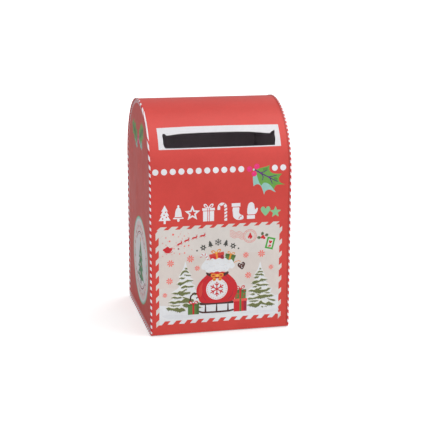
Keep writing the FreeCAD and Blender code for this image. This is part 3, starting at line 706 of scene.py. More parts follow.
def front_holly(art):
    art.add(over_dome("""22.2,110.3 22.4,106.5 22.8,103.5 23.4,104.2 24.8,104.9 26.4,104.9
        27.5,104.2 28.3,103.1 28.9,101.8 29.7,99.7 30.4,97.4 30.9,98.9 31.5,100 32.7,100.6
        33.9,100.9 35.6,100.4 37.2,99.4 38.8,98.7 37.8,100.2 36.5,101.9 35.2,104 33.4,106.4
        30.6,107.4 26.6,110.7 24.8,112.2 23.4,111.4"""), "aqua")
    art.add(over_dome("""24.1,115 25.3,115.4 26.8,116 29.3,116.6 32,117.1 34.3,118.1 33.9,116.5
        33.9,114.9 34.7,113.4 36.5,112.2 39.2,111.8 43.1,111.7 41.5,110.1 40.8,108.6 40.9,106.9
        41.9,105.5 43.5,104.6 45.6,104 42.8,104 40.3,104.1 38.7,103.6 37.9,102.4 37.5,100.8
        36.3,102.2 34.8,103.9 33.4,105 31.9,105.7 30.6,105.9 29.4,105.3 28.3,103.9 27.6,104.8
        26.8,106.1 25.9,108.5 25.2,110.6 24.8,112.4 24.3,113.9"""), "leaf")
    for shade in ("29.4,115.9 31.6,116.2 33,116.7 32.7,115.2 31.2,114.2 29.4,114.3",
                  "37,109.2 39,109.2 40,108.4 39.4,107 37.6,107.8"):
        art.add(over_dome(shade), "leaf_dark")
    art.stroke(over_dome("23.6,115.2 25.7,114 27.9,112.7 30.9,111 33.8,109.5 37,107.7 40.1,106.2"),
               0.95, "plum", 0.6)
    for vein in ("27.6,112.8 30.2,113.5 32.7,114.9", "28.4,112.3 29.6,109.9 29,107.5",
                 "33.3,109.8 36.3,110.1 39.3,110.7", "34.2,109.3 35.2,107.3 36.3,104.8"):
        art.stroke(over_dome(vein), 0.8, "plum", 0.5)
    art.disc(27.9, dome_length(112.6), 0.72, "violet", 9)
    art.disc(33.9, 109.4, 0.78, "violet", 9)
    for x, y in over_dome("19.9,115.8 25.1,117.4 23.2,112.4"):
        art.disc(x, y, 1.9, "magenta", 20)
        art.disc(x - 0.5, y + 0.6, 0.34, "magenta_light", 8)
    art.disc(22.9, dome_length(115.3), 0.75, "aqua_light", 10)


# outline of the snowy fir on the label's left, then its boughs, one per semicolon
LEFT_FIR = """-25.2,52.8 -26.2,49.4 -27.4,46.8 -29.6,43.2 -29.8,41.4 -28.8,40 -31.4,37.2
    -29.6,35 -32.2,32.6 -34.8,30.8 -31.4,28.6 -34,26.2 -37,24.4 -34.2,22.4 -36.8,21.2 -39.2,19.9
    -37.4,17.4 -31,15.6 -24,15.2 -17,15.8 -12.8,18.8 -13.4,21.6 -16.2,23.6 -14.8,25.6 -17.2,28
    -15.8,30.6 -18.8,32.6 -18,34.9 -20.6,36.8 -19.4,39.4 -21.8,41.2 -20.9,43.2 -22.8,45
    -23.8,47.8 -24.5,50.2"""
LEFT_BOUGHS = """-25.4,48.2 -24.6,48.6 -23.9,48 -24.2,47.2 -25.1,47.1;
    -27.4,46 -25.8,46.7 -24.2,46.5 -23,45.5 -22,44.3 -23.4,44.6 -24.6,45.3 -26,45.1
    -26.9,44.4 -28.2,43.2 -29.4,42.9 -28.3,44.5;
    -25.8,43.7 -24,43.4 -21.1,43.1 -22.4,42.2 -24.3,42.5 -25.4,43;
    -29.7,41.2 -28,41.7 -26.5,41.4 -25.2,41.4 -26.3,40.4 -27.8,40.2;
    -31.3,37 -29.4,38.4 -27.6,38 -25.4,38.8 -23.8,39.8 -22,39.3 -19.7,39.3 -21.3,38.4
    -23.3,38.2 -25.2,37.5 -27.3,36.4 -29,35.8;
    -28.6,34.2 -27,35.3 -25.5,35.8 -23,35 -20.7,35.2 -18.6,34.9 -20.5,34 -23,34 -25,34
    -27,33.6;
    -35.1,30.6 -32.8,31.1 -31,30.8 -29.5,31.9 -27.6,31.6 -25.5,32.9 -23.7,33.3 -25.2,31.8
    -26.4,30.8 -24,30.7 -21.7,30.7 -22.2,29.5 -25,29.1 -27.8,28 -30,29.3 -31.8,29.5;
    -37.3,24.1 -35,24.8 -32.6,24.2 -30,25.1 -28.2,24.6 -26.2,26.2 -28,27.9 -25,26.9 -22,25.8
    -19.4,25.3 -18.8,23.6 -22,23.2 -25.5,22.6 -28,23.2 -31,23.1 -33.5,22.5 -34.5,23.3;
    -27.4,21.6 -25.8,22.6 -24,22.6 -22.5,21.4 -23.6,19.6 -25.6,19.8;
    -17,23.3 -14.8,22.4 -12.9,21.7 -15,21 -16.6,21.8;
    -16,20 -13.2,19 -15.4,18.5;
    -35.4,27.4 -33.2,28.2 -30.8,27.4 -28.6,27.8 -27.4,26.9 -30,26.3 -32.8,26.6;
    -20.4,29.9 -18.2,29.4 -16.4,28.6 -18.6,28.2 -20.6,28.9;
    -36.6,22.3 -33.6,21.8 -30.6,21.6 -28.4,22 -30.4,20.9 -34.2,20.9;
    -39.2,19.9 -37,20.7 -35.5,19.9 -33,19.5 -31,20.1 -29.6,19.1 -28,19.7 -26,18.9 -25,17.3
    -27.5,16.9 -29.4,16.2 -31.4,17 -33.6,17.7 -35.5,18.4 -37.4,18.1 -37.9,19.1"""
# the same for the fir on the right
RIGHT_FIR = """28.3,49.6 27.4,46.4 26.2,43.4 24.3,40.6 23.6,38.6 24.8,36.9 22,34.2 23.6,32.4
    21.2,30.6 19.8,28.8 22,26.4 19.4,24.6 19,22.8 20.4,20.6 18.8,18.6 20.4,16.6 25,15.2 31,15.2
    36.6,15.8 40.2,17.4 38.4,19.6 40.6,20.6 38,22.6 39.2,24.6 36.2,26.4 37.2,29.6 34,31.2
    35,32.8 32.8,34.6 33.8,36.8 31.2,38.2 31.8,39.6 30.6,42.2 29.6,44.8 29,47"""
RIGHT_BOUGHS = """28.1,44.9 28.6,45.2 29,44.6 28.7,43.9 28.2,44;
    26.1,42.1 27.6,43.1 28.8,42.7 30,42.9 30.8,41.7 29.4,41.9 28.2,41.6 27,41.5;
    24.3,40.4 26,41.3 27.6,40.7 29.4,41.1 31.8,39.1 29.8,39.4 28,39.8 26.2,39.7;
    23.9,38.6 25.8,39.1 27.9,38.8 26.8,37.7 25.2,37.4;
    21.9,34.1 23.8,35.8 25.6,36.1 27.6,35.8 29.2,37.3 31,36.8 33.7,36.7 31.8,35.5 29.6,35.4
    27.4,34.5 25.6,33.4 23.6,33.4;
    24.9,32.9 26.8,33.8 28.6,33 30.8,33.2 33,33 35,32.6 33,31.7 30.4,31.9 28,31.6 26.4,31.8;
    19.7,28.8 22,29.6 24.2,29.1 25.8,30.2 27.2,30.1 28.6,31.2 29.5,30.5 28.3,29 31,28.9
    33,29.1 34.2,30.1 36.5,29.9 34.6,28.6 33.2,27.3 30,27 27.8,25.9 25.2,26.9 23.6,27.8
    21.6,27.9;
    19.1,23 21,23.7 23.4,23.2 25.8,24 27.4,24.6 26.4,26.4 29,24.9 32,25.3 34.6,24.8 36.8,25.1
    38.7,24.2 36.4,23.4 33.6,23.2 31.2,22.7 28.6,22.3 26,22.6 23,22.3 20.8,22.1;
    33.6,22.6 36.2,21.8 38.2,21.4 40.2,20.6 38.6,19.8 36.8,20.6 34.6,21.6;
    18.9,18.4 21.4,19 23,19.7 25.2,18.9 27.2,19.3 28.4,20.7 29.6,21.1 30.6,19.7 32.6,18.7
    35,20.1 37,18.8 39.5,17.6 37,16.8 34.4,16.9 31.4,17.9 29.4,18.7 27.6,16.9 25.4,15.9
    23.2,16.7 21,17.3;
    29.2,16.6 30.4,16.9 31.2,16.3 30,15.9;
    31.8,16.5 33.4,16.7 33,16;
    22.6,31.4 24.8,32.2 26.8,31.6 25.4,30.8;
    21.2,26.2 23.4,26.9 25.2,26 23.4,25.2;
    31.2,26.6 33.8,26.9 36,26.5 34,25.9;
    20.4,21.4 23,21.5 26,21.5 28,20.9 25,20.3 22,20.5"""


def label_art(art):
    """The big label: slanted teeth round a winter scene."""
    label_border(art)
    flying_sledge(art)
    snow_flowers(art, """-21.6,54.4,2.4 -35.6,51.9,2.3 -16.8,47.4,1.8 -36.4,39.2,2.2
        -39.7,29.2,1.6 17.9,54.9,2 29.1,55.3,2.4 36.2,45.1,1.7 19.7,40.1,2.2""",
                 "salmon", "paper_warm")
    # arc of small dark ornaments: motif, x, y, turn, inks
    for draw, x, y, turn, *inks in (
            (pierced_star, -12.6, 61.9, 26, "charcoal", "paper"),
            (tree, -7.6, 64.2, 13, "charcoal"), (flake, -2.0, 65.2, 0, "charcoal", 0.20),
            (tree, 3.6, 64.3, -13, "charcoal"),
            (pierced_star, 8.6, 62.0, -26, "charcoal", "paper")):
        art.motif(draw, x, y, 2.55, *inks, turn=turn)
    art.dots("-17,60,0.62 12.5,60,0.62", 10, "charcoal")
    postmark_and_stamp(art)
    snowy_fir(art, LEFT_FIR, LEFT_BOUGHS, axis=-25.2, seed=5)
    snowy_fir(art, RIGHT_FIR, RIGHT_BOUGHS, axis=28.4, seed=6)
    wooden_sledge(art)
    presents(art)
    sack_contents(art)
    gift_sack(art)


def label_border(art):
    pitch, side_pitch, top = 7.98, 8.92, 77.9
    for k in range(11):
        x = -37.9 + pitch * k
        art.add([(x - 4.6, top), (x, top - 0.1), (x - 2.6, 75.6), (x - 7.3, 75.6)], "paper")
    for k in range(11):
        x = -45.96 + pitch * k
        art.add([(x, 7.8), (x + 3.9, 7.7), (x + 6.3, 10.4), (x + 2.3, 10.4)], "snow")
    art.add("41.2,10.5 42.2,9.6 43.9,8.2 43.9,10.6 42.4,11.4", "snow")
    for k in range(8):
        y = 68.6 - side_pitch * k
        art.add([(-43.6, y + 5.8), (-45.9, y + 3.6), (-45.9, y - 0.2), (-43.6, y + 2.2)], "paper")
    art.add("-43.7,75.7 -40.8,78 -43.4,76.6 -45.9,73.4 -45.9,69.6 -43.7,71.4", "paper")
    for k in range(8):
        y = 72.2 - side_pitch * k
        art.add([(41.9, y - 3.4), (43.9, y - 1.0), (43.9, y + 2.2), (41.9, y + 0.6)], "paper")
    # inner panel with a warmer band and the snow on the ground
    art.rect(-43.7, 41.95, 10.3, 75.7, "paper")
    high = [(-43.6 + 85.4 * i / 24, 58.0 + 1.8 * math.sin(i * 0.55)) for i in range(25)]
    low = [(-43.6 + 85.4 * i / 24, 32.0 + 2.4 * math.sin(i * 0.42 + 1.0)) for i in range(25)]
    art.add(low + high[::-1], "paper_warm")
    art.add("""-43.6,10.4 41.9,10.4 41.9,24.6 38,23.6 32,22.6 24,21.8 16,21.4 9,21 2,20.2 -6,20.4
        -14,19.6 -22,19 -30,19.4 -36,20.4 -40,21.6 -43.6,22""", "snow")
    for shade in ("-42,14.2 -34,15 -26,14 -16,12.8 -24,11.8 -36,11.8",
                  "14,12.8 24,14.2 34,13.6 41,14.6 41,12.4 26,11.6",
                  "-12,14.4 -4,14.9 6,14.6 9,13.6 0,12.8 -9,13.2"):
        art.smooth(shade, "ground_shade")


def flying_sledge(art):
    """A small sledge drawn by four leaping animals, among loose dots of snow."""
    art.dots("""-33.7,72.3,0.75,salmon -36.2,67.7,0.7,salmon -38.8,70.3,0.6,postmark
        -27.3,69,0.42,postmark -41,66.6,0.5,postmark -38.7,65.1,0.5,postmark
        -29.9,70.6,0.45,postmark -25.9,71,0.4,salmon -25.8,63.7,0.6,salmon
        -22.8,64,0.6,salmon -30,62,0.6,wine -25.7,58.9,0.55,salmon -29.2,58.4,0.5,salmon
        -33.1,62.4,0.6,postmark -33,59.2,0.45,postmark -38.4,58.6,0.4,postmark
        -41,57.2,0.4,postmark -34.6,58.2,0.35,postmark -28.6,72.6,0.35,postmark
        -23,72.4,0.3,postmark -20.6,61,0.35,postmark -31.6,66.4,0.35,postmark""", 9)
    rnd = random.Random(7)
    for _ in range(26):
        art.disc(rnd.uniform(-42.5, -20), rnd.uniform(57.5, 74), rnd.uniform(0.14, 0.26),
                 "postmark", 6)
    art.smooth("""-41,61.8 -39,63.2 -37.6,64.2 -36,62.9 -34.2,63.2 -34.6,61.2 -36.2,59.7
        -38.4,59.6""", "red_deep")
    art.stroke("-40,59.9 -37.6,59.4 -35.2,59.6 -34,60.6", 0.35, "red_deep")
    art.stroke("-35,62.6 -33,64 -31,64.9", 0.16, "postmark")
    for x, y, turn in ((-29.1, 65.6, 16), (-24.1, 67.8, 12), (-18.6, 69.4, 6), (-13.0, 70.5, 2)):
        art.motif(leaping_animal, x, y, 2.25, "red_deep", turn=turn)


def leaping_animal(art, ink):
    art.smooth("""-0.92,-0.10 -0.5,0.20 0.3,0.24 0.72,0.52 0.92,0.36 0.74,0.02 0.30,-0.22
        -0.5,-0.30""", ink, 3)
    # legs, then antlers: x0, y0, x1, y1, width
    for x0, y0, x1, y1, width in path("""-0.62,-0.14,-1.18,-0.52,0.15
            -0.44,-0.16,-0.66,-0.66,0.15 0.34,-0.08,0.94,-0.30,0.15 0.24,-0.12,0.52,-0.58,0.15
            0.66,0.46,0.44,0.98,0.12 0.74,0.46,0.98,0.92,0.12"""):
        art.line(x0, y0, x1, y1, width, ink, 0.08)


def postmark_and_stamp(art):
    for k in range(5):
        y = 72.9 - k * 1.05
        art.stroke([(6.2 + 0.55 * i, y - 0.11 * i + 0.55 * math.sin(i * 0.62 + k * 0.3))
                    for i in range(19)], 0.42, "postmark")
    x, y = 20.6, 68.4
    for radius, ink, sides in ((4.9, "postmark", 36), (4.45, "paper", 36), (3.9, "postmark", 32),
                               (3.5, "paper_warm", 32)):
        art.disc(x, y, radius, ink, sides)
    for dot_x, dot_y in oval(x, y, 4.18, 14):
        art.disc(dot_x, dot_y, 0.20, "salmon", 6)
    art.smooth("20.8,71 21.6,69.4 22.4,67.8 21.6,66.6 20.2,66.4 19.1,67.4 19.9,69.2", "red_deep")
    art.disc(20.2, 66.9, 0.35, "white", 7)

    # holly sprig beside the stamp: x, y, radius, turn
    for x, y, radius, turn in path("29.6,69.6,1.35,80 32.7,68.5,1.35,20 27.2,66.9,1.4,170"):
        art.disc(x, y, radius, "grey_green", 12, radius * 0.78, turn)
        art.disc(x + 0.2, y + 0.1, radius * 0.42, "olive_dark", 8)
    for x, y in path("29.3,67 30.9,66.5 30.2,67.7"):
        art.disc(x, y, 0.95, "red_deep", 12)
        art.disc(x - 0.3, y + 0.3, 0.22, "salmon", 6)

    # postage stamp with its perforated edge
    with art.at(35.3, 62.5, turn=-14):
        art.rect(-3.0, 3.0, -4.25, 4.25, "stamp_green")
        for i in range(7):
            for y in (4.27, -4.27):
                art.disc(-2.4 + 0.8 * i, y, 0.2, "paper", 6)
        for i in range(9):
            for x in (-3.02, 3.02):
                art.disc(x, -3.4 + 0.85 * i, 0.2, "paper", 6)
        art.rect(-1.75, 1.75, -3.0, 3.0, "paper")
        art.motif(heart, 0.0, 0.9, 1.45, "red_deep")
        art.smooth("-1.1,-2.3 -0.5,-1.5 0.2,-1.1 0.9,-1.2 1,-1.9 0.5,-2.5 -0.4,-2.7", "red_deep")
        art.disc(-0.5, -2.0, 0.28, "paper", 7)


def snowy_fir(art, outline, boughs, axis, seed):
    """Olive boughs between the snow, each with a serrated lower edge and darker needles."""
    art.smooth(outline, "snow", 3)
    rnd = random.Random(seed)
    for bough in map(path, boughs.split(";")):
        points = counterclockwise(bough)
        sides = list(zip(points, points[1:] + points[:1]))
        art.add(points, "olive")
        for (x0, y0), (x1, y1) in sides:
            length = math.hypot(x1 - x0, y1 - y0)
            # the lower side runs to the right in this winding
            if length < 0.5 or x1 < x0:
                continue
            count = max(2, int(length / 0.55))
            for i in range(count):
                part = (i + rnd.uniform(0.2, 0.8)) / count
                x, y = x0 + (x1 - x0) * part, y0 + (y1 - y0) * part
                lean = 0.55 * (1 if x > axis else -1) + rnd.uniform(-0.35, 0.35)
                drop = rnd.uniform(0.45, 0.9)
                art.add([(x - 0.30, y + 0.20), (x + lean * drop, y - drop), (x + 0.30, y + 0.20)],
                        "olive" if rnd.random() < 0.7 else "olive_dark")
        # snow lying on the upper side
        for (x0, y0), (x1, y1) in sides:
            if x1 < x0 - 0.3:
                art.line(x0, y0 + 0.05, x1, y1 + 0.05, 0.5, "frost", 0.44)
        middle_x = sum(p[0] for p in bough) / len(bough)
        middle_y = sum(p[1] for p in bough) / len(bough) - 0.15
        width = max(p[0] for p in bough) - min(p[0] for p in bough)
        if width <= 3.0:
            continue
        count = int(width / 0.75)
        for i in range(count):
            x = middle_x + width * 0.42 * (2 * (i + 0.5) / count - 1)
            lean = 0.6 * (1 if x > axis else -1) + rnd.uniform(-0.2, 0.2)
            y = middle_y + rnd.uniform(-0.15, 0.35)
            art.add([(x - 0.13, y), (x + lean * 0.7, y - 0.75), (x + 0.13, y + 0.08)],
                    "olive_dark" if i % 2 else "olive_light")


def wooden_sledge(art):
    """A low sledge; its runner curls up behind the parcel on the left."""
    art.stroke("""9.4,15.6 6,14.9 -4,14.7 -13,14.9 -17.4,16.4 -20.6,19.8 -22,23.6 -21.4,27.4
        -19,29.6 -16.4,28.8 -16,26.6 -17.6,25.6""", 1.35, "brown", 1.0)
    for x in (-11.4, -3.4, 4.8):
        art.add([(x - 0.2, 15.0), (x + 1.1, 15.0), (x + 0.8, 21.0), (x + 0.1, 21.0)], "brown")
    art.add("-14.6,20.3 9.2,20.3 9.6,22.3 -15,22.3", "brown")
    art.stroke("-14,21.4 -3,21.7 8.6,21.4", 0.35, "brown_light")


def presents(art):
    # left box: x0, x1, y0, y1, ink
    for box in ((-23.5, -15.6, 13.9, 21.4, "box_green"),
                (-23.7, -15.4, 20.4, 21.6, "box_green_dark"),
                (-17.4, -15.6, 13.9, 20.4, "box_green_dark"),
                (-20.2, -19.0, 13.9, 21.6, "red_deep")):
        art.rect(*box)
    bow(art, -19.6, "red_deep", "0,21.5 1.4,23.6 3.1,23.6 2.7,22",
        "white", "0.9,22.2 1.7,23.1 2.5,23 2.1,22.3")
    art.disc(-19.6, 21.8, 0.55, "red_deep", 8)
    # right pair, one on the other
    for box in ((9.4, 18.8, 14.0, 21.9, "red_deep"), (9.0, 19.1, 21.4, 23.3, "red_light"),
                (16.6, 18.8, 14.0, 21.4, "wine"), (13.6, 14.9, 14.0, 23.3, "box_green"),
                (10.2, 18.1, 23.3, 28.4, "box_green"), (9.9, 18.4, 28.0, 30.0, "box_green_dark"),
                (13.4, 14.8, 23.3, 30.0, "red_deep")):
        art.rect(*box)
    for x, y in path("11.6,25.2 16.4,24.6 12.2,26.9 16.9,26.6 10.9,23.9 17.2,28.9 11.2,28.9"):
        art.disc(x, y, 0.55, "red_deep", 8)
    bow(art, 14.1, "red_deep", "0,30 1.2,32.6 3,32.8 2.9,31",
        "paper", "0.9,30.9 1.6,32.1 2.4,32 2.2,31.1")
    art.disc(14.1, 30.2, 0.6, "red_deep", 8)


def sack_contents(art):
    """What looks out of the sack: a cane, two presents and a heart on a string."""
    crook = [(-8.6, 49.0), (-10.0, 54.2)]
    for i in range(1, 9):
        angle = math.radians(-10 + 190 * i / 8)
        crook.append((-12.1 + 2.1 * math.cos(angle), 55.0 + 2.2 * math.sin(angle)))
    art.stroke(crook, 1.5, "snow")
    for x, y, turn in path("""-9,50.8,15 -9.5,52.8,15 -10.1,54.8,25 -10.9,56.8,70
            -12.9,57,130 -14.1,55.6,170"""):
        with art.at(x, y, turn=turn):
            art.add("-0.78,-0.15 0.78,0.20 0.78,0.75 -0.78,0.40", "red_deep")
    with art.at(6.2, 52.6, turn=-14):
        art.rect(-3.4, 3.4, -4, 3.4, "box_green")
        art.rect(-3.7, 3.7, 1.7, 3.6, "box_green_dark")
        art.rect(-0.6, 0.6, -4, 3.6, "gold")
        bow(art, 0, "gold", "0,3.5 1,5.2 2.6,5.2 2.2,3.9",
            "paper", "0.8,4 1.3,4.8 2,4.7 1.8,4.1")
    with art.at(-2.6, 53.4, turn=9):
        art.rect(-4.9, 4.9, -5, 3.6, "red_deep")
        art.rect(-5.3, 5.3, 1.9, 4.1, "red")
        art.rect(2.6, 4.9, -5, 1.9, "wine")
        art.rect(-0.7, 0.7, -5, 4.1, "gold")
        bow(art, 0, "gold", "0,4 1.2,6.3 3.4,6.4 2.8,4.5",
            "paper", "0.9,4.6 1.6,5.8 2.7,5.7 2.2,4.8")
        art.disc(0, 4.4, 0.7, "gold_light", 10)
    art.stroke("7.4,48.2 10.2,50.4 12.6,51.2 14.2,50.4", 0.42, "gold")
    with art.at(14.8, 47.4, 3.3, 12):
        heart(art, "brown")
        art.motif(heart, 0, 0.02, 0.72, "brown_light")
        art.dots("-0.36,0.30,0.1 0.36,0.30,0.1 0,-0.10,0.1 0,-0.46,0.1", 8, "snow")


def gift_sack(art):
    """A full red sack with a fleece cuff, tied with a dark cord."""
    art.smooth("""-13.6,22.2 -16,25.4 -17.4,29.6 -17,33.8 -14.8,37.6 -11.4,40.9 -8.6,43.2 -3,44.2
        3,43.4 6.4,41 9.8,37.4 11.8,33.2 11.9,28.8 10.4,25 8,22.2 -3,21.4""", "red_deep", 5)
    art.smooth("-14.6,26.4 -15.9,30 -15,34 -12.6,37.2 -13.4,33.4 -13.2,29.4", "red")
    for crease in ("-7.4,42.4 -9.4,39.6 -12,37", "1.6,42.4 4.6,39.6 7.6,35.8",
                   "-10.6,23.6 -12.6,26.6 -13.2,29.6", "5.4,23.4 8.2,26.6 9,30.6",
                   "-5,42.6 -5.6,40.8", "-0.4,42.6 0.4,40.8"):
        art.stroke(crease, 0.55, "wine", 0.15)
    # round patch with a snow crystal, sewn on
    art.disc(-2.8, 31.4, 7.7, "snow", 44)
    for i in range(26):
        middle = math.degrees(2 * math.pi * i / 26)
        art.arc(-2.8, 31.4, 6.8, 0.34, middle - 3.6, middle + 3.6, "salmon", 3)
    art.motif(flake, -2.8, 31.4, 5.4, "red_deep", 0.15)
    # fleece cuff
    art.smooth("""-12.6,50.9 -10.6,52.9 -8.2,52.3 -6.2,53.9 -3.8,53 -1.4,53.9 1,53 3.2,53.6
        5.2,52.1 7.6,52.3 9,50.2 9.9,47.8 8.3,45.8 6.2,45.9 4.5,44.2 2.1,44.6 -0.4,43.6 -2.8,44.4
        -5.2,43.6 -7.5,44.5 -9.9,44.1 -11.4,45.9 -13.5,46.5 -13.9,48.8""", "snow", 5)
    for x, y, radius in path("""-10.4,47.6,1.5 -6.8,49.6,1.7 -2.8,47.4,1.8 1.4,49.8,1.6
            5.4,47.6,1.6 -5,46,1 3.2,46.4,1"""):
        art.arc(x, y, radius, 0.34, 200, 330, "snow_shade", 8)
        art.arc(x + 0.2, y + 1.9, radius * 0.6, 0.28, 20, 150, "paper", 6)
    # cord, bow and two small bells
    art.smooth("""-10.4,44 -6.4,42.5 -2.8,42.1 1,42.4 5.2,43.8 5,41.9 1.2,40.3 -2.8,39.9
        -6.6,40.4 -10,42.2""", "brown", 5)
    for i in range(9):
        x = -9.0 + 1.55 * i
        y = 42.9 - 1.6 * math.cos((x + 2.6) / 7.6)
        art.line(x - 0.3, y - 0.5, x + 0.3, y + 0.5, 0.24, "brown_light")
    bow(art, -2.6, "gold", "0,41.2 1.8,42.8 4.2,42.6 4.4,40.6 2,40",
        "red_deep", "1.6,41.2 2.4,42 3.6,41.8 3.4,40.9")
    art.disc(-2.6, 41.2, 1.1, "gold_light", 12)
    for x in (-4.7, -0.5):
        art.disc(x, 38.6, 1.25, "gold", 14)
        art.line(x - 0.7, 38.3, x + 0.7, 38.3, 0.22, "brown")
        art.disc(x - 0.35, 39.1, 0.28, "gold_light", 7)


def back_art(art):
    """The same row of dots, and loose flakes round the door."""
    for k in range(16):
        art.disc(-44.7 + DOT_PITCH * k, SHEET_LENGTH - dome_length(DOT_Z), DOT_RADIUS, "white", 26)
    flowers = path("""-41.5,94,2.4 41.5,97,2.4 -41.2,72,1.9 -42,49,2.5 -41,25,2 41.6,22,2.5
        -22,8.6,2 4,7.8,2.4 27,9,1.8 -36,107.6,1.7 37,108,1.6 -14,107,2.1 14,107.6,1.8""")
    snow_flowers(art, [(x, SHEET_LENGTH - z, size) for x, z, size in flowers], "white", "red")
    rnd = random.Random(11)
    for _ in range(46):
        side = rnd.choice((-1, 1))
        art.disc(side * rnd.uniform(36.0, 46.5), SHEET_LENGTH - rnd.uniform(6, 108),
                 rnd.uniform(0.22, 0.42), "white", 8)


def slot_outline():
    """The slot's cut edge, anticlockwise from its lower left corner."""
    points = over_dome("""-37.8,132.15 -30,131.95 0,131.9 30,131.85 39,131.95 39.1,133.4
        39.45,135.2 39.75,137.2 39.55,139.4 39.75,141.2 40,142.6 39.5,143.1 38.6,142.5
        37.4,141.9""")
    points.append((36.7, bend_line(36.7)))
    for i in range(25):
        x = 36.4 - 72.6 * i / 24
        points.append((x, bend_line(x) - LIP))
    points.append((-36.5, bend_line(-36.5)))
    return points + over_dome("""-37.1,142.6 -37.9,143 -38.8,142.6 -39.1,141.4 -38.9,138.4
        -39,135.2 -38.6,133.6""")


def wrap_cuts():
    """Lines that give the sheet the edges it bends along."""
    reach = SHEET_HALF_X + 1

    def across(along):
        return [(-reach, along), (reach, along)]

    cuts = []
    steps = 84
    for i in range(steps + 1):
        along = DOME_Z + math.pi * SHELL * i / steps
        if dome_length(136.0) < along < dome_length(144.5):
            # stop short of the lip, whose bend has lines of its own
            cuts.append([(-reach, along), (-37.5, along)])
            cuts.append([(37.5, along), (reach, along)])
        else:
            cuts.append(across(along))
    folds = [FOLD_LOW + (FOLD_TOP - FOLD_LOW) * part for part in (0.0, 0.33, 0.66)]
    for along in folds + [FOLD_TOP, 30, 60, 90]:
        cuts.append(across(along))
        cuts.append(across(SHEET_LENGTH - along))
    xs = [-36.9 + 73.8 * i / 30 for i in range(31)]
    for past in (-1.2, -0.5, 0.0, 0.12, 0.24, 0.36, 0.48, 0.6, 0.72, 0.84, BEND * LIP_TURN):
        cuts.append([(x, bend_line(x) - past) for x in xs])
    cuts.append([(x, dome_length(144.4)) for x in (-37.5, 37.5)])
    return cuts


def build_wrap():
    art = front_art()
    back_art(art)
    low, high = HEM_EDGE, SHEET_LENGTH - HEM_EDGE
    outline = [(-SHEET_HALF_X, low), (SHEET_HALF_X, low), (SHEET_HALF_X, high),
               (-SHEET_HALF_X, high)]
    doorway = [(x, SHEET_LENGTH - z) for x, z in round_box(-30.0, 30.0, 20.0, 98.0, 3.0)]
    holes = [slot_outline(), doorway]
    holes += [oval(41.0, SHEET_LENGTH - z, HOLE_RADIUS, 14) for z in HOLE_ZS]
    pattern = triangulate(outline, holes, art, wrap_cuts(), "red")
    return sheet_mesh("printed_body_sheet", pattern, wrap_map)


# ---- end panels: a flat y, z pattern pressed into a plate with a rolled rim ----
CORE = 1.15                      # inset of the plate's edge from the outline
CORNER = 1.6                     # corner radius of the plate's edge at the foot
CORE_Y = HALF_Y - CORE - CORNER  # corner centres, from the middle
CORE_LOW = CORE + CORNER         # and from the foot
PLATE_X = 49.30                  # outer face of the plate
WALL_BEND = 0.16                 # bend radius from the plate to the rim's wall
ROLL = 0.495                     # radius of the rolled rim
ROLL_X = 49.5                    # centre of the roll


def rim_profile():
    """From the plate's edge up the wall, over the roll, down the leg: (outset, x) points."""
    points = [(0.0, PLATE_X)]
    for i in range(1, 5):
        angle = math.radians(90 * i / 4)
        points.append((WALL_BEND * math.sin(angle), PLATE_X + WALL_BEND * (1 - math.cos(angle))))
    for i in range(1, 15):
        angle = math.radians(180 * i / 14)
        points.append((WALL_BEND + ROLL - ROLL * math.cos(angle), ROLL_X + ROLL * math.sin(angle)))
    return points + [(CORE, 49.1), (CORE, 48.55)]


RIM = rim_profile()
RIM_LENGTHS = [0.0]
for start, end in zip(RIM, RIM[1:]):
    RIM_LENGTHS.append(RIM_LENGTHS[-1] + math.hypot(end[0] - start[0], end[1] - start[1]))
RIM_END = RIM_LENGTHS[-1]
RIM_STRIPED = RIM_END - 0.34     # the striped border ends here, on the rim's foot


def rim_tangent(k):
    before, after = RIM[max(k - 1, 0)], RIM[min(k + 1, len(RIM) - 1)]
    length = math.hypot(after[0] - before[0], after[1] - before[1])
    return (after[0] - before[0]) / length, (after[1] - before[1]) / length


def rim_at(along):
    """Outset and x of the rim profile at a developed length, and its unit tangent."""
    last = len(RIM_LENGTHS) - 2
    i = next((k for k in range(last) if along <= RIM_LENGTHS[k + 1]), last)
    part = (along - RIM_LENGTHS[i]) / (RIM_LENGTHS[i + 1] - RIM_LENGTHS[i])
    outset, x = (a + (b - a) * part for a, b in zip(RIM[i], RIM[i + 1]))
    tangent_out, tangent_x = (a + (b - a) * part
                              for a, b in zip(rim_tangent(i), rim_tangent(i + 1)))
    length = math.hypot(tangent_out, tangent_x)
    return outset, x, tangent_out / length, tangent_x / length


def beyond_plate(y, z):
    """Nearest core point, outward direction and distance beyond the plate's edge, or None."""
    if z >= DOME_Z:
        radius = math.hypot(y, z - DOME_Z)
        beyond = radius - CORE_Y - CORNER
        if beyond <= 0:
            return None
        out_y, out_z = y / radius, (z - DOME_Z) / radius
        return (out_y * CORE_Y, DOME_Z + out_z * CORE_Y), (out_y, out_z), beyond
    core_y = max(-CORE_Y, min(CORE_Y, y))
    core_z = max(CORE_LOW, z)
    distance = math.hypot(y - core_y, z - core_z)
    if distance - CORNER <= 0:
        return None
    out = ((y - core_y) / distance, (z - core_z) / distance)
    return (core_y, core_z), out, distance - CORNER


def end_map(side):
    def mapper(y, z):
        hit = beyond_plate(y, z)
        if hit is None:
            return Vector((side * PLATE_X, y, z)), Vector((side, 0, 0))
        (core_y, core_z), (out_y, out_z), beyond = hit
        outset, x, tangent_out, tangent_x = rim_at(beyond)
        reach = CORNER + outset
        place = Vector((side * x, core_y + out_y * reach, core_z + out_z * reach))
        # the profile runs outwards, so its normal is its tangent turned to the outside
        normal = Vector((side * tangent_out, out_y * -tangent_x, out_z * -tangent_x))
        return place, normal.normalized()
    return mapper


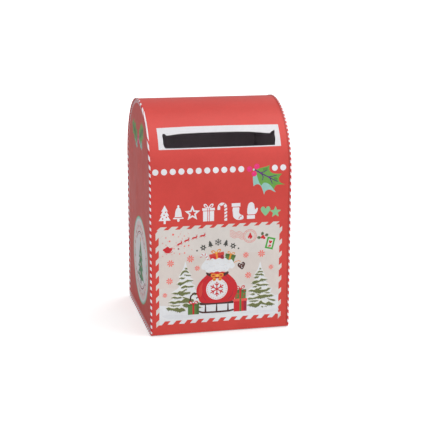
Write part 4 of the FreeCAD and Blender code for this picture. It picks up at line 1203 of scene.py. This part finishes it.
def d_outline(beyond, arc_steps=96):
    """Loop of the flat pattern, beyond the plate's edge by a developed length."""
    radius = CORNER + beyond
    points = []
    for y, start in ((-CORE_Y, 180), (CORE_Y, 270)):
        for i in range(9):
            angle = math.radians(start + 90 * i / 8)
            points.append((y + radius * math.cos(angle), CORE_LOW + radius * math.sin(angle)))
    for i in range(arc_steps + 1):
        angle = math.pi * i / arc_steps
        points.append(((CORE_Y + radius) * math.cos(angle),
                       DOME_Z + (CORE_Y + radius) * math.sin(angle)))
    return points


def striped_border(art, side):
    """Slanted stripes under a plain red field; seen from outside they lean alike on both ends."""
    pitch = 4.65
    width = pitch * 0.47
    reach = -side * 60
    for k in range(-70, 87):
        z = k * pitch
        art.add([(-reach, z - 60), (reach, z + 60), (reach, z + 60 + width),
                 (-reach, z - 60 + width)], "white")
    art.add(d_outline(-2.35, 72), "red")
    inner, outer = d_outline(RIM_STRIPED, 60), d_outline(RIM_END + 0.4, 60)
    low = d_outline(0.22, 60)
    for i in range(len(inner)):
        j = (i + 1) % len(inner)
        # on the back half the red starts at the plate, so the stripes stay on the flat band
        behind = (inner[i][0] + inner[j][0]) / 2 > 3.0 and min(inner[i][1], inner[j][1]) > 3.2
        start = low if behind else inner
        art.add([start[i], start[j], outer[j], outer[i]], "red")
    # a painted highlight: a long white line along the left end's rolled rim over the dome, on this
    # end only
    if side < 0:
        full = HALF_Y - CORE + RIM_END + 0.3
        line = []
        for i in range(19):
            angle = math.radians(27 + 33 * i / 18)
            line.append((angle, full - 1.35 * min(1.0, 2.4 * math.sin(math.pi * i / 18))))
        back = [(angle, full) for angle, _ in line[-2:0:-1]]
        art.add([(-radius * math.sin(angle), DOME_Z + radius * math.cos(angle))
                 for angle, radius in line + back], "white")


def badge(art, y, z):
    """Round badge with a ring of ornaments and a fir tree."""
    for radius, ink, sides in ((32.2, "mint", 80), (31.4, "aqua_light", 76), (30.2, "white", 76),
                               (28.8, "blush", 76), (22.0, "white", 60)):
        art.disc(y, z, radius, ink, sides)
    for i in range(30):
        angle = 2 * math.pi * (i + 0.5) / 30
        place = (y + 25.0 * math.cos(angle), z + 25.0 * math.sin(angle))
        turn = math.degrees(angle) - 90
        if i % 2:
            art.motif(flake, *place, 1.75, "wine", 0.24, False, turn=turn)
        else:
            art.motif(star, *place, 1.25, "salmon", 5, 0.5, turn=turn)
    for start in (0, 180):
        art.arc(y, z, 20.9, 0.9, start + 40, start + 140, "wine", 26)
        art.arc(y, z, 19.4, 0.35, start + 48, start + 132, "salmon", 22)
        for end in (40, 140):
            angle = math.radians(start + end)
            art.disc(y + 20.9 * math.cos(angle), z + 20.9 * math.sin(angle), 1.0, "wine", 12)
    with art.at(y, z - 1.0, 1.08):
        badge_tree(art)
    for turn in (0, 180):
        dot_y = y + 25 * math.cos(math.radians(turn))
        art.disc(dot_y, z, 2.1, "aqua", 16)
        art.disc(dot_y, z, 1.2, "paper", 12)


def badge_tree(art):
    art.rect(-1.6, 1.6, -15.5, -11.0, "brown")
    for base, top, half in ((-12.0, 0.5, 12.5), (-5.6, 6.8, 10.2), (1.2, 14.6, 7.6)):
        middle = (base + top) / 2
        art.add([(-half, base), (-half * 0.62, base + 0.9), (-half * 0.3, base - 0.7),
                 (0, base + 0.6), (half * 0.32, base - 0.7), (half * 0.64, base + 0.9),
                 (half, base), (half * 0.42, middle + 0.5), (0, top),
                 (-half * 0.42, middle + 0.5)], "fir")
        art.add([(-half * 0.86, base + 0.5), (-half * 0.5, base + 2.4),
                 (-half * 0.15, base + 1.2), (-half * 0.32, base + 4.2), (0, top - 0.6),
                 (-half * 0.40, middle + 0.3)], "fir_light")
        art.add([(half * 0.10, base + 2.0), (half * 0.55, base + 2.7),
                 (half * 0.32, base + 4.6), (half * 0.12, base + 3.6)], "snow")
    art.dots("""-5.6,-8.2,0.9 4.2,-9,0.9 -2.2,-2.8,0.85 3.6,-1.6,0.8 -1.4,3.6,0.75
        2,6.8,0.7""", 12, "magenta")
    art.motif(star, 0, 15.4, 2.3, "gold")


def end_holly(art):
    """Pair of holly sprigs under the crown. A leaf runs from stalk to tip: y, z, y, z."""
    aqua_back, aqua_front = (13.5, 131.0, 1.5, 124.0), (-5.0, 133.0, -20.0, 126.6)
    green_back, green_front = (3.2, 130.6, 29.5, 141.0), (-4.6, 132.6, -26.8, 143.4)
    holly_leaf(art, *aqua_back, 8.0, "aqua")
    holly_leaf(art, *aqua_front, 10.0, "aqua")
    holly_leaf(art, *green_back, 15.5, "leaf")
    holly_leaf(art, *green_front, 16.0, "leaf")
    holly_leaf(art, 8.0, 132.2, 24.5, 138.8, 6.0, "leaf_dark", 0.2)
    holly_leaf(art, -8.4, 134.2, -23.0, 141.2, 6.0, "leaf_dark", 0.2)
    veins(art, *green_back, 15.0, "plum", 0.55)
    veins(art, *green_front, 15.0, "plum", 0.55)
    veins(art, *aqua_back, 7.0, "fir", 0.4)
    veins(art, *aqua_front, 8.0, "fir", 0.4)
    for y, z in path("-1,133.4 2.2,129.8 -3.4,129.6"):
        art.disc(y, z, 2.05, "magenta", 20)
        art.disc(y + 0.5, z + 0.6, 0.34, "magenta_light", 8)
    art.disc(-0.7, 131.0, 0.8, "aqua_light", 10)


def build_end(side, name):
    """An end panel; side is -1 for the left end and 1 for the right."""
    art = Art()
    striped_border(art, side)
    badge(art, y=-4.7, z=43.0)
    end_holly(art)
    snow_flowers(art, """-26,104,2 22,98,2.3 -2,112,1.8 30,118,1.7 -31,84,1.6 32,72,1.7
        12,86,1.6 -14,92,1.5""", "red_light", "red")
    loops = [d_outline(length) for length in RIM_LENGTHS[:-1]]
    cuts = [loop + [loop[0]] for loop in loops]
    pattern = triangulate(d_outline(RIM_END), [], art, cuts, "red_deep")
    return sheet_mesh(name, pattern, end_map(side), flip=side < 0)


# ---- rear door: a pressed x, z plate with a raised field ----
DOOR_FACE = 49.0
FIELD = (-11.5, 21.5, 25.0, 93.0, 4.0)     # x0, x1, z0, z1, corner radius
FIELD_RISE = 0.78
FIELD_SLOPE = 1.4                          # width of the field's sloping edge


def door_height(x, z):
    x0, x1, z0, z1, radius = FIELD
    out_x = abs(x - (x0 + x1) / 2) - ((x1 - x0) / 2 - radius)
    out_z = abs(z - (z0 + z1) / 2) - ((z1 - z0) / 2 - radius)
    inset = radius - math.hypot(max(out_x, 0), max(out_z, 0)) - min(max(out_x, out_z), 0)
    part = max(0.0, min(1.0, inset / FIELD_SLOPE))
    return FIELD_RISE * part * part * (3 - 2 * part)


def door_map(x, z):
    step = 0.05
    slope_x = (door_height(x + step, z) - door_height(x - step, z)) / (2 * step)
    slope_z = (door_height(x, z + step) - door_height(x, z - step)) / (2 * step)
    place = Vector((x, DOOR_FACE + door_height(x, z), z))
    return place, Vector((-slope_x, 1.0, -slope_z)).normalized()


def door_art():
    art = Art()
    for i in range(13):
        for z in (20.2, 97.8):
            art.disc(-28.8 + 4.8 * i, z, 1.0, "white", 14)
    for i in range(1, 16):
        z = 20.2 + 4.85 * i
        art.disc(-29.8, z, 1.0, "white", 14)
        if not 33.0 < z < 85.5:
            art.disc(29.8, z, 1.0, "white", 14)
    art.motif(flake, 5.0, 73.0, 9.0, "white", 0.15)
    with art.at(5.0, 45.0, 11.0):
        tree(art, "white")
        art.dots("-0.18,-0.34,0.07 0.16,0.02,0.07 -0.02,0.46,0.06 0.30,-0.46,0.07", 8, "red")
    snow_flowers(art, "-5,86,1.6 15.5,86.5,1.5 -6.2,60.5,1.7 16.2,59.6,1.8 -6,31.5,1.6 16,31,1.6",
                 "white", "red")
    return art


def build_door():
    holes = [oval(-21.0, 59.0, 4.1, 28)]
    holes += [oval(27.6, z, HOLE_RADIUS, 14) for z in HOLE_ZS]
    x0, x1, z0, z1, radius = FIELD
    cuts = []
    for inset in (0.0, 0.2, 0.4, 0.6, 0.8, 1.0, 1.2, FIELD_SLOPE):
        loop = round_box(x0 + inset, x1 - inset, z0 + inset, z1 - inset, radius - inset, 8)
        cuts.append(loop + [loop[0]])
    pattern = triangulate(round_box(-33, 33, 17, 101, 4, 8), holes, door_art(), cuts, "red")
    return sheet_mesh("printed_rear_door", pattern, door_map, flip=True)


# ---- assembly ----
def place_sheet(obj, material, part, node):
    obj.data.materials.append(material)
    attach(obj, part)
    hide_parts(node)


def finish_metal_parts():
    zinc = metal_material("zinc_steel", srgb(222, 224, 228), rough=0.36, grain=(1.0, 1.0, 0.06),
                          grain_scale=1400.0, tarnish=srgb(176, 180, 186), metallic=0.92)
    wire = metal_material("bright_wire", srgb(226, 227, 230), rough=0.24,
                          grain=(1.0, 1.0, 0.05), grain_scale=1800.0)
    aluminium = metal_material("rivet_aluminium", srgb(228, 228, 230), rough=0.34,
                               grain=(1, 1, 1), grain_scale=600.0)
    nickel = metal_material("lock_nickel", srgb(226, 222, 214), rough=0.22, grain=(1, 0.08, 1))
    brass = metal_material("plug_brass", srgb(226, 190, 112), rough=0.26, grain=(1, 0.08, 1),
                           tarnish=srgb(176, 138, 72))
    key = metal_material("key_nickel", srgb(222, 220, 215), rough=0.24, grain=(1, 0.06, 1))
    plate = metal_material("bare_tinplate", srgb(222, 223, 225), rough=0.42, grain=(0.06, 1, 1),
                           tarnish=srgb(198, 200, 204), metallic=0.85, age=0.3)
    for node, material in (
            ("base_panel", plate), ("hinge_leaf_body", zinc), ("hinge_leaf_door", zinc),
            ("hinge_pin", wire), ("lock_cam", zinc), ("body_leaf_rivets", aluminium),
            ("door_leaf_rivets", aluminium), ("lock_housing", nickel), ("lock_nut", nickel),
            ("cam_nut", nickel), ("lock_plug", brass), ("key", key)):
        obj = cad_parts[node]
        if not obj.material_slots:
            obj.data.materials.append(material)
        for slot in obj.material_slots:
            slot.material = material


# ---- studio, in metres ----
def floor_material():
    """Pale floor, darker to bounced and mirrored light than to the camera."""
    mat = Material("pale_floor")
    rays = mat.node("LightPath").outputs
    seen = rays["Is Camera Ray"]
    tone = mat.span(mat.noise(scale=3.0), within=(0.3, 0.7), to=(0.90, 0.92))
    bounce = mat.span(seen, within=(0.0, 1.0), to=(0.62, 1.0), name="bounce")
    mirror = mat.span(rays["Is Glossy Ray"], within=(0.0, 1.0), to=(1.0, 0.62), name="mirror")
    tone = mat.times(mat.times(tone, bounce), mirror)
    camera_glow = 0.34
    return mat.surface({
        "Base Color": mat.node("CombineColor", {0: tone, 1: tone, 2: tone}).outputs[0],
        "Roughness": 0.6, "Specular IOR Level": 0.1, "Emission Color": (1, 1, 1, 1),
        "Emission Strength": mat.times(seen, camera_glow)})


def build_floor():
    half = 30.0
    mesh = bpy.data.meshes.new("floor")
    mesh.from_pydata([(-half, -half, 0), (half, -half, 0), (half, half, 0), (-half, half, 0)],
                     [], [(0, 1, 2, 3)])
    floor = bpy.data.objects.new("floor", mesh)
    floor.location.z = -0.0002
    bpy.context.scene.collection.objects.link(floor)
    floor.data.materials.append(floor_material())


def build_world():
    """White to the camera. Its light is brighter in front and to the right, darker to the left."""
    bpy.context.scene.view_settings.view_transform = "Standard"
    world = bpy.data.worlds.new("studio")
    bpy.context.scene.world = world
    tree = Tree(world)
    white = (1, 1, 1, 1)
    rays = tree.node("LightPath").outputs
    coord = tree.node("TexCoord").outputs["Generated"]

    def facing(direction, name):
        return tree.node("VectorMath", {0: coord, 1: direction}, name=name,
                         operation="DOT_PRODUCT").outputs["Value"]

    diffuse = tree.span(facing((0.36, -0.80, 0.10), "dot"), within=(-0.7, 0.8), to=(0.76, 1.02),
                        name="map")
    # what the varnish reflects: a soft box overhead
    gloss = tree.span(facing((0.5, -0.3, 0.81), "over"), within=(0.72, 0.99), to=(0.36, 3.0),
                      name="gloss", interpolation_type="SMOOTHSTEP")
    strength = tree.node("Mix", {0: rays["Is Glossy Ray"], 2: diffuse, 3: gloss},
                         data_type="FLOAT").outputs[0]
    light = tree.node("Background", {"Color": white, "Strength": strength})
    backdrop = tree.node("Background", {"Color": white, "Strength": 1.0})
    mixed = tree.node("MixShader", {0: rays["Is Camera Ray"], 1: light.outputs[0],
                                    2: backdrop.outputs[0]})
    tree.node("OutputWorld", {0: mixed.outputs[0]})


def area_light(name, place, size, power, glossy=True):
    """A rectangular light aimed at the tin's lower half."""
    light = bpy.data.lights.new(name, "AREA")
    light.shape = "RECTANGLE"
    light.size, light.size_y = size
    light.energy = power
    obj = bpy.data.objects.new(name, light)
    obj.location = place
    aim = Vector((0, 0, 0.08)) - Vector(place)
    obj.rotation_euler = aim.to_track_quat("-Z", "Y").to_euler()
    bpy.context.scene.collection.objects.link(obj)
    obj.visible_glossy = glossy


def build_camera():
    """Looks at the front from a little to the left and above."""
    yaw, pitch, roll = math.radians(13.12), math.radians(13.47), math.radians(0.23)
    forward = Vector((math.sin(yaw) * math.cos(pitch), math.cos(yaw) * math.cos(pitch),
                      -math.sin(pitch)))
    level = Vector((math.cos(yaw), -math.sin(yaw), 0))
    up = level.cross(forward)
    camera_x = level * math.cos(roll) + up * math.sin(roll)
    camera_y = up * math.cos(roll) - level * math.sin(roll)
    data = bpy.data.cameras.new("camera")
    data.sensor_width = 36.0
    data.lens = 90.0
    camera = bpy.data.objects.new("camera", data)
    pose = Matrix((camera_x, camera_y, -forward)).transposed().to_4x4()
    pose.translation = (-0.1673, -0.7477, 0.2566)
    camera.matrix_world = pose
    bpy.context.scene.collection.objects.link(camera)
    bpy.context.scene.camera = camera


tin = printed_tin()
place_sheet(build_wrap(), tin, "tin_body", "body_wrap")
for side, name, node in ((-1, "printed_left_end", "left_end_panel"),
                         (1, "printed_right_end", "right_end_panel")):
    place_sheet(build_end(side, name), tin, "tin_body", node)
place_sheet(build_door(), tin, "door", "rear_door")
finish_metal_parts()
build_floor()
build_world()
area_light("key_light", place=(2.2, -1.5, 0.44), size=(1.6, 0.8), power=32.0)
area_light("top_light", place=(0.45, 0.25, 1.25), size=(0.9, 0.8), power=1.1, glossy=False)
area_light("back_light", place=(1.7, 1.9, 1.5), size=(1.4, 1.2), power=9.0)
build_camera()
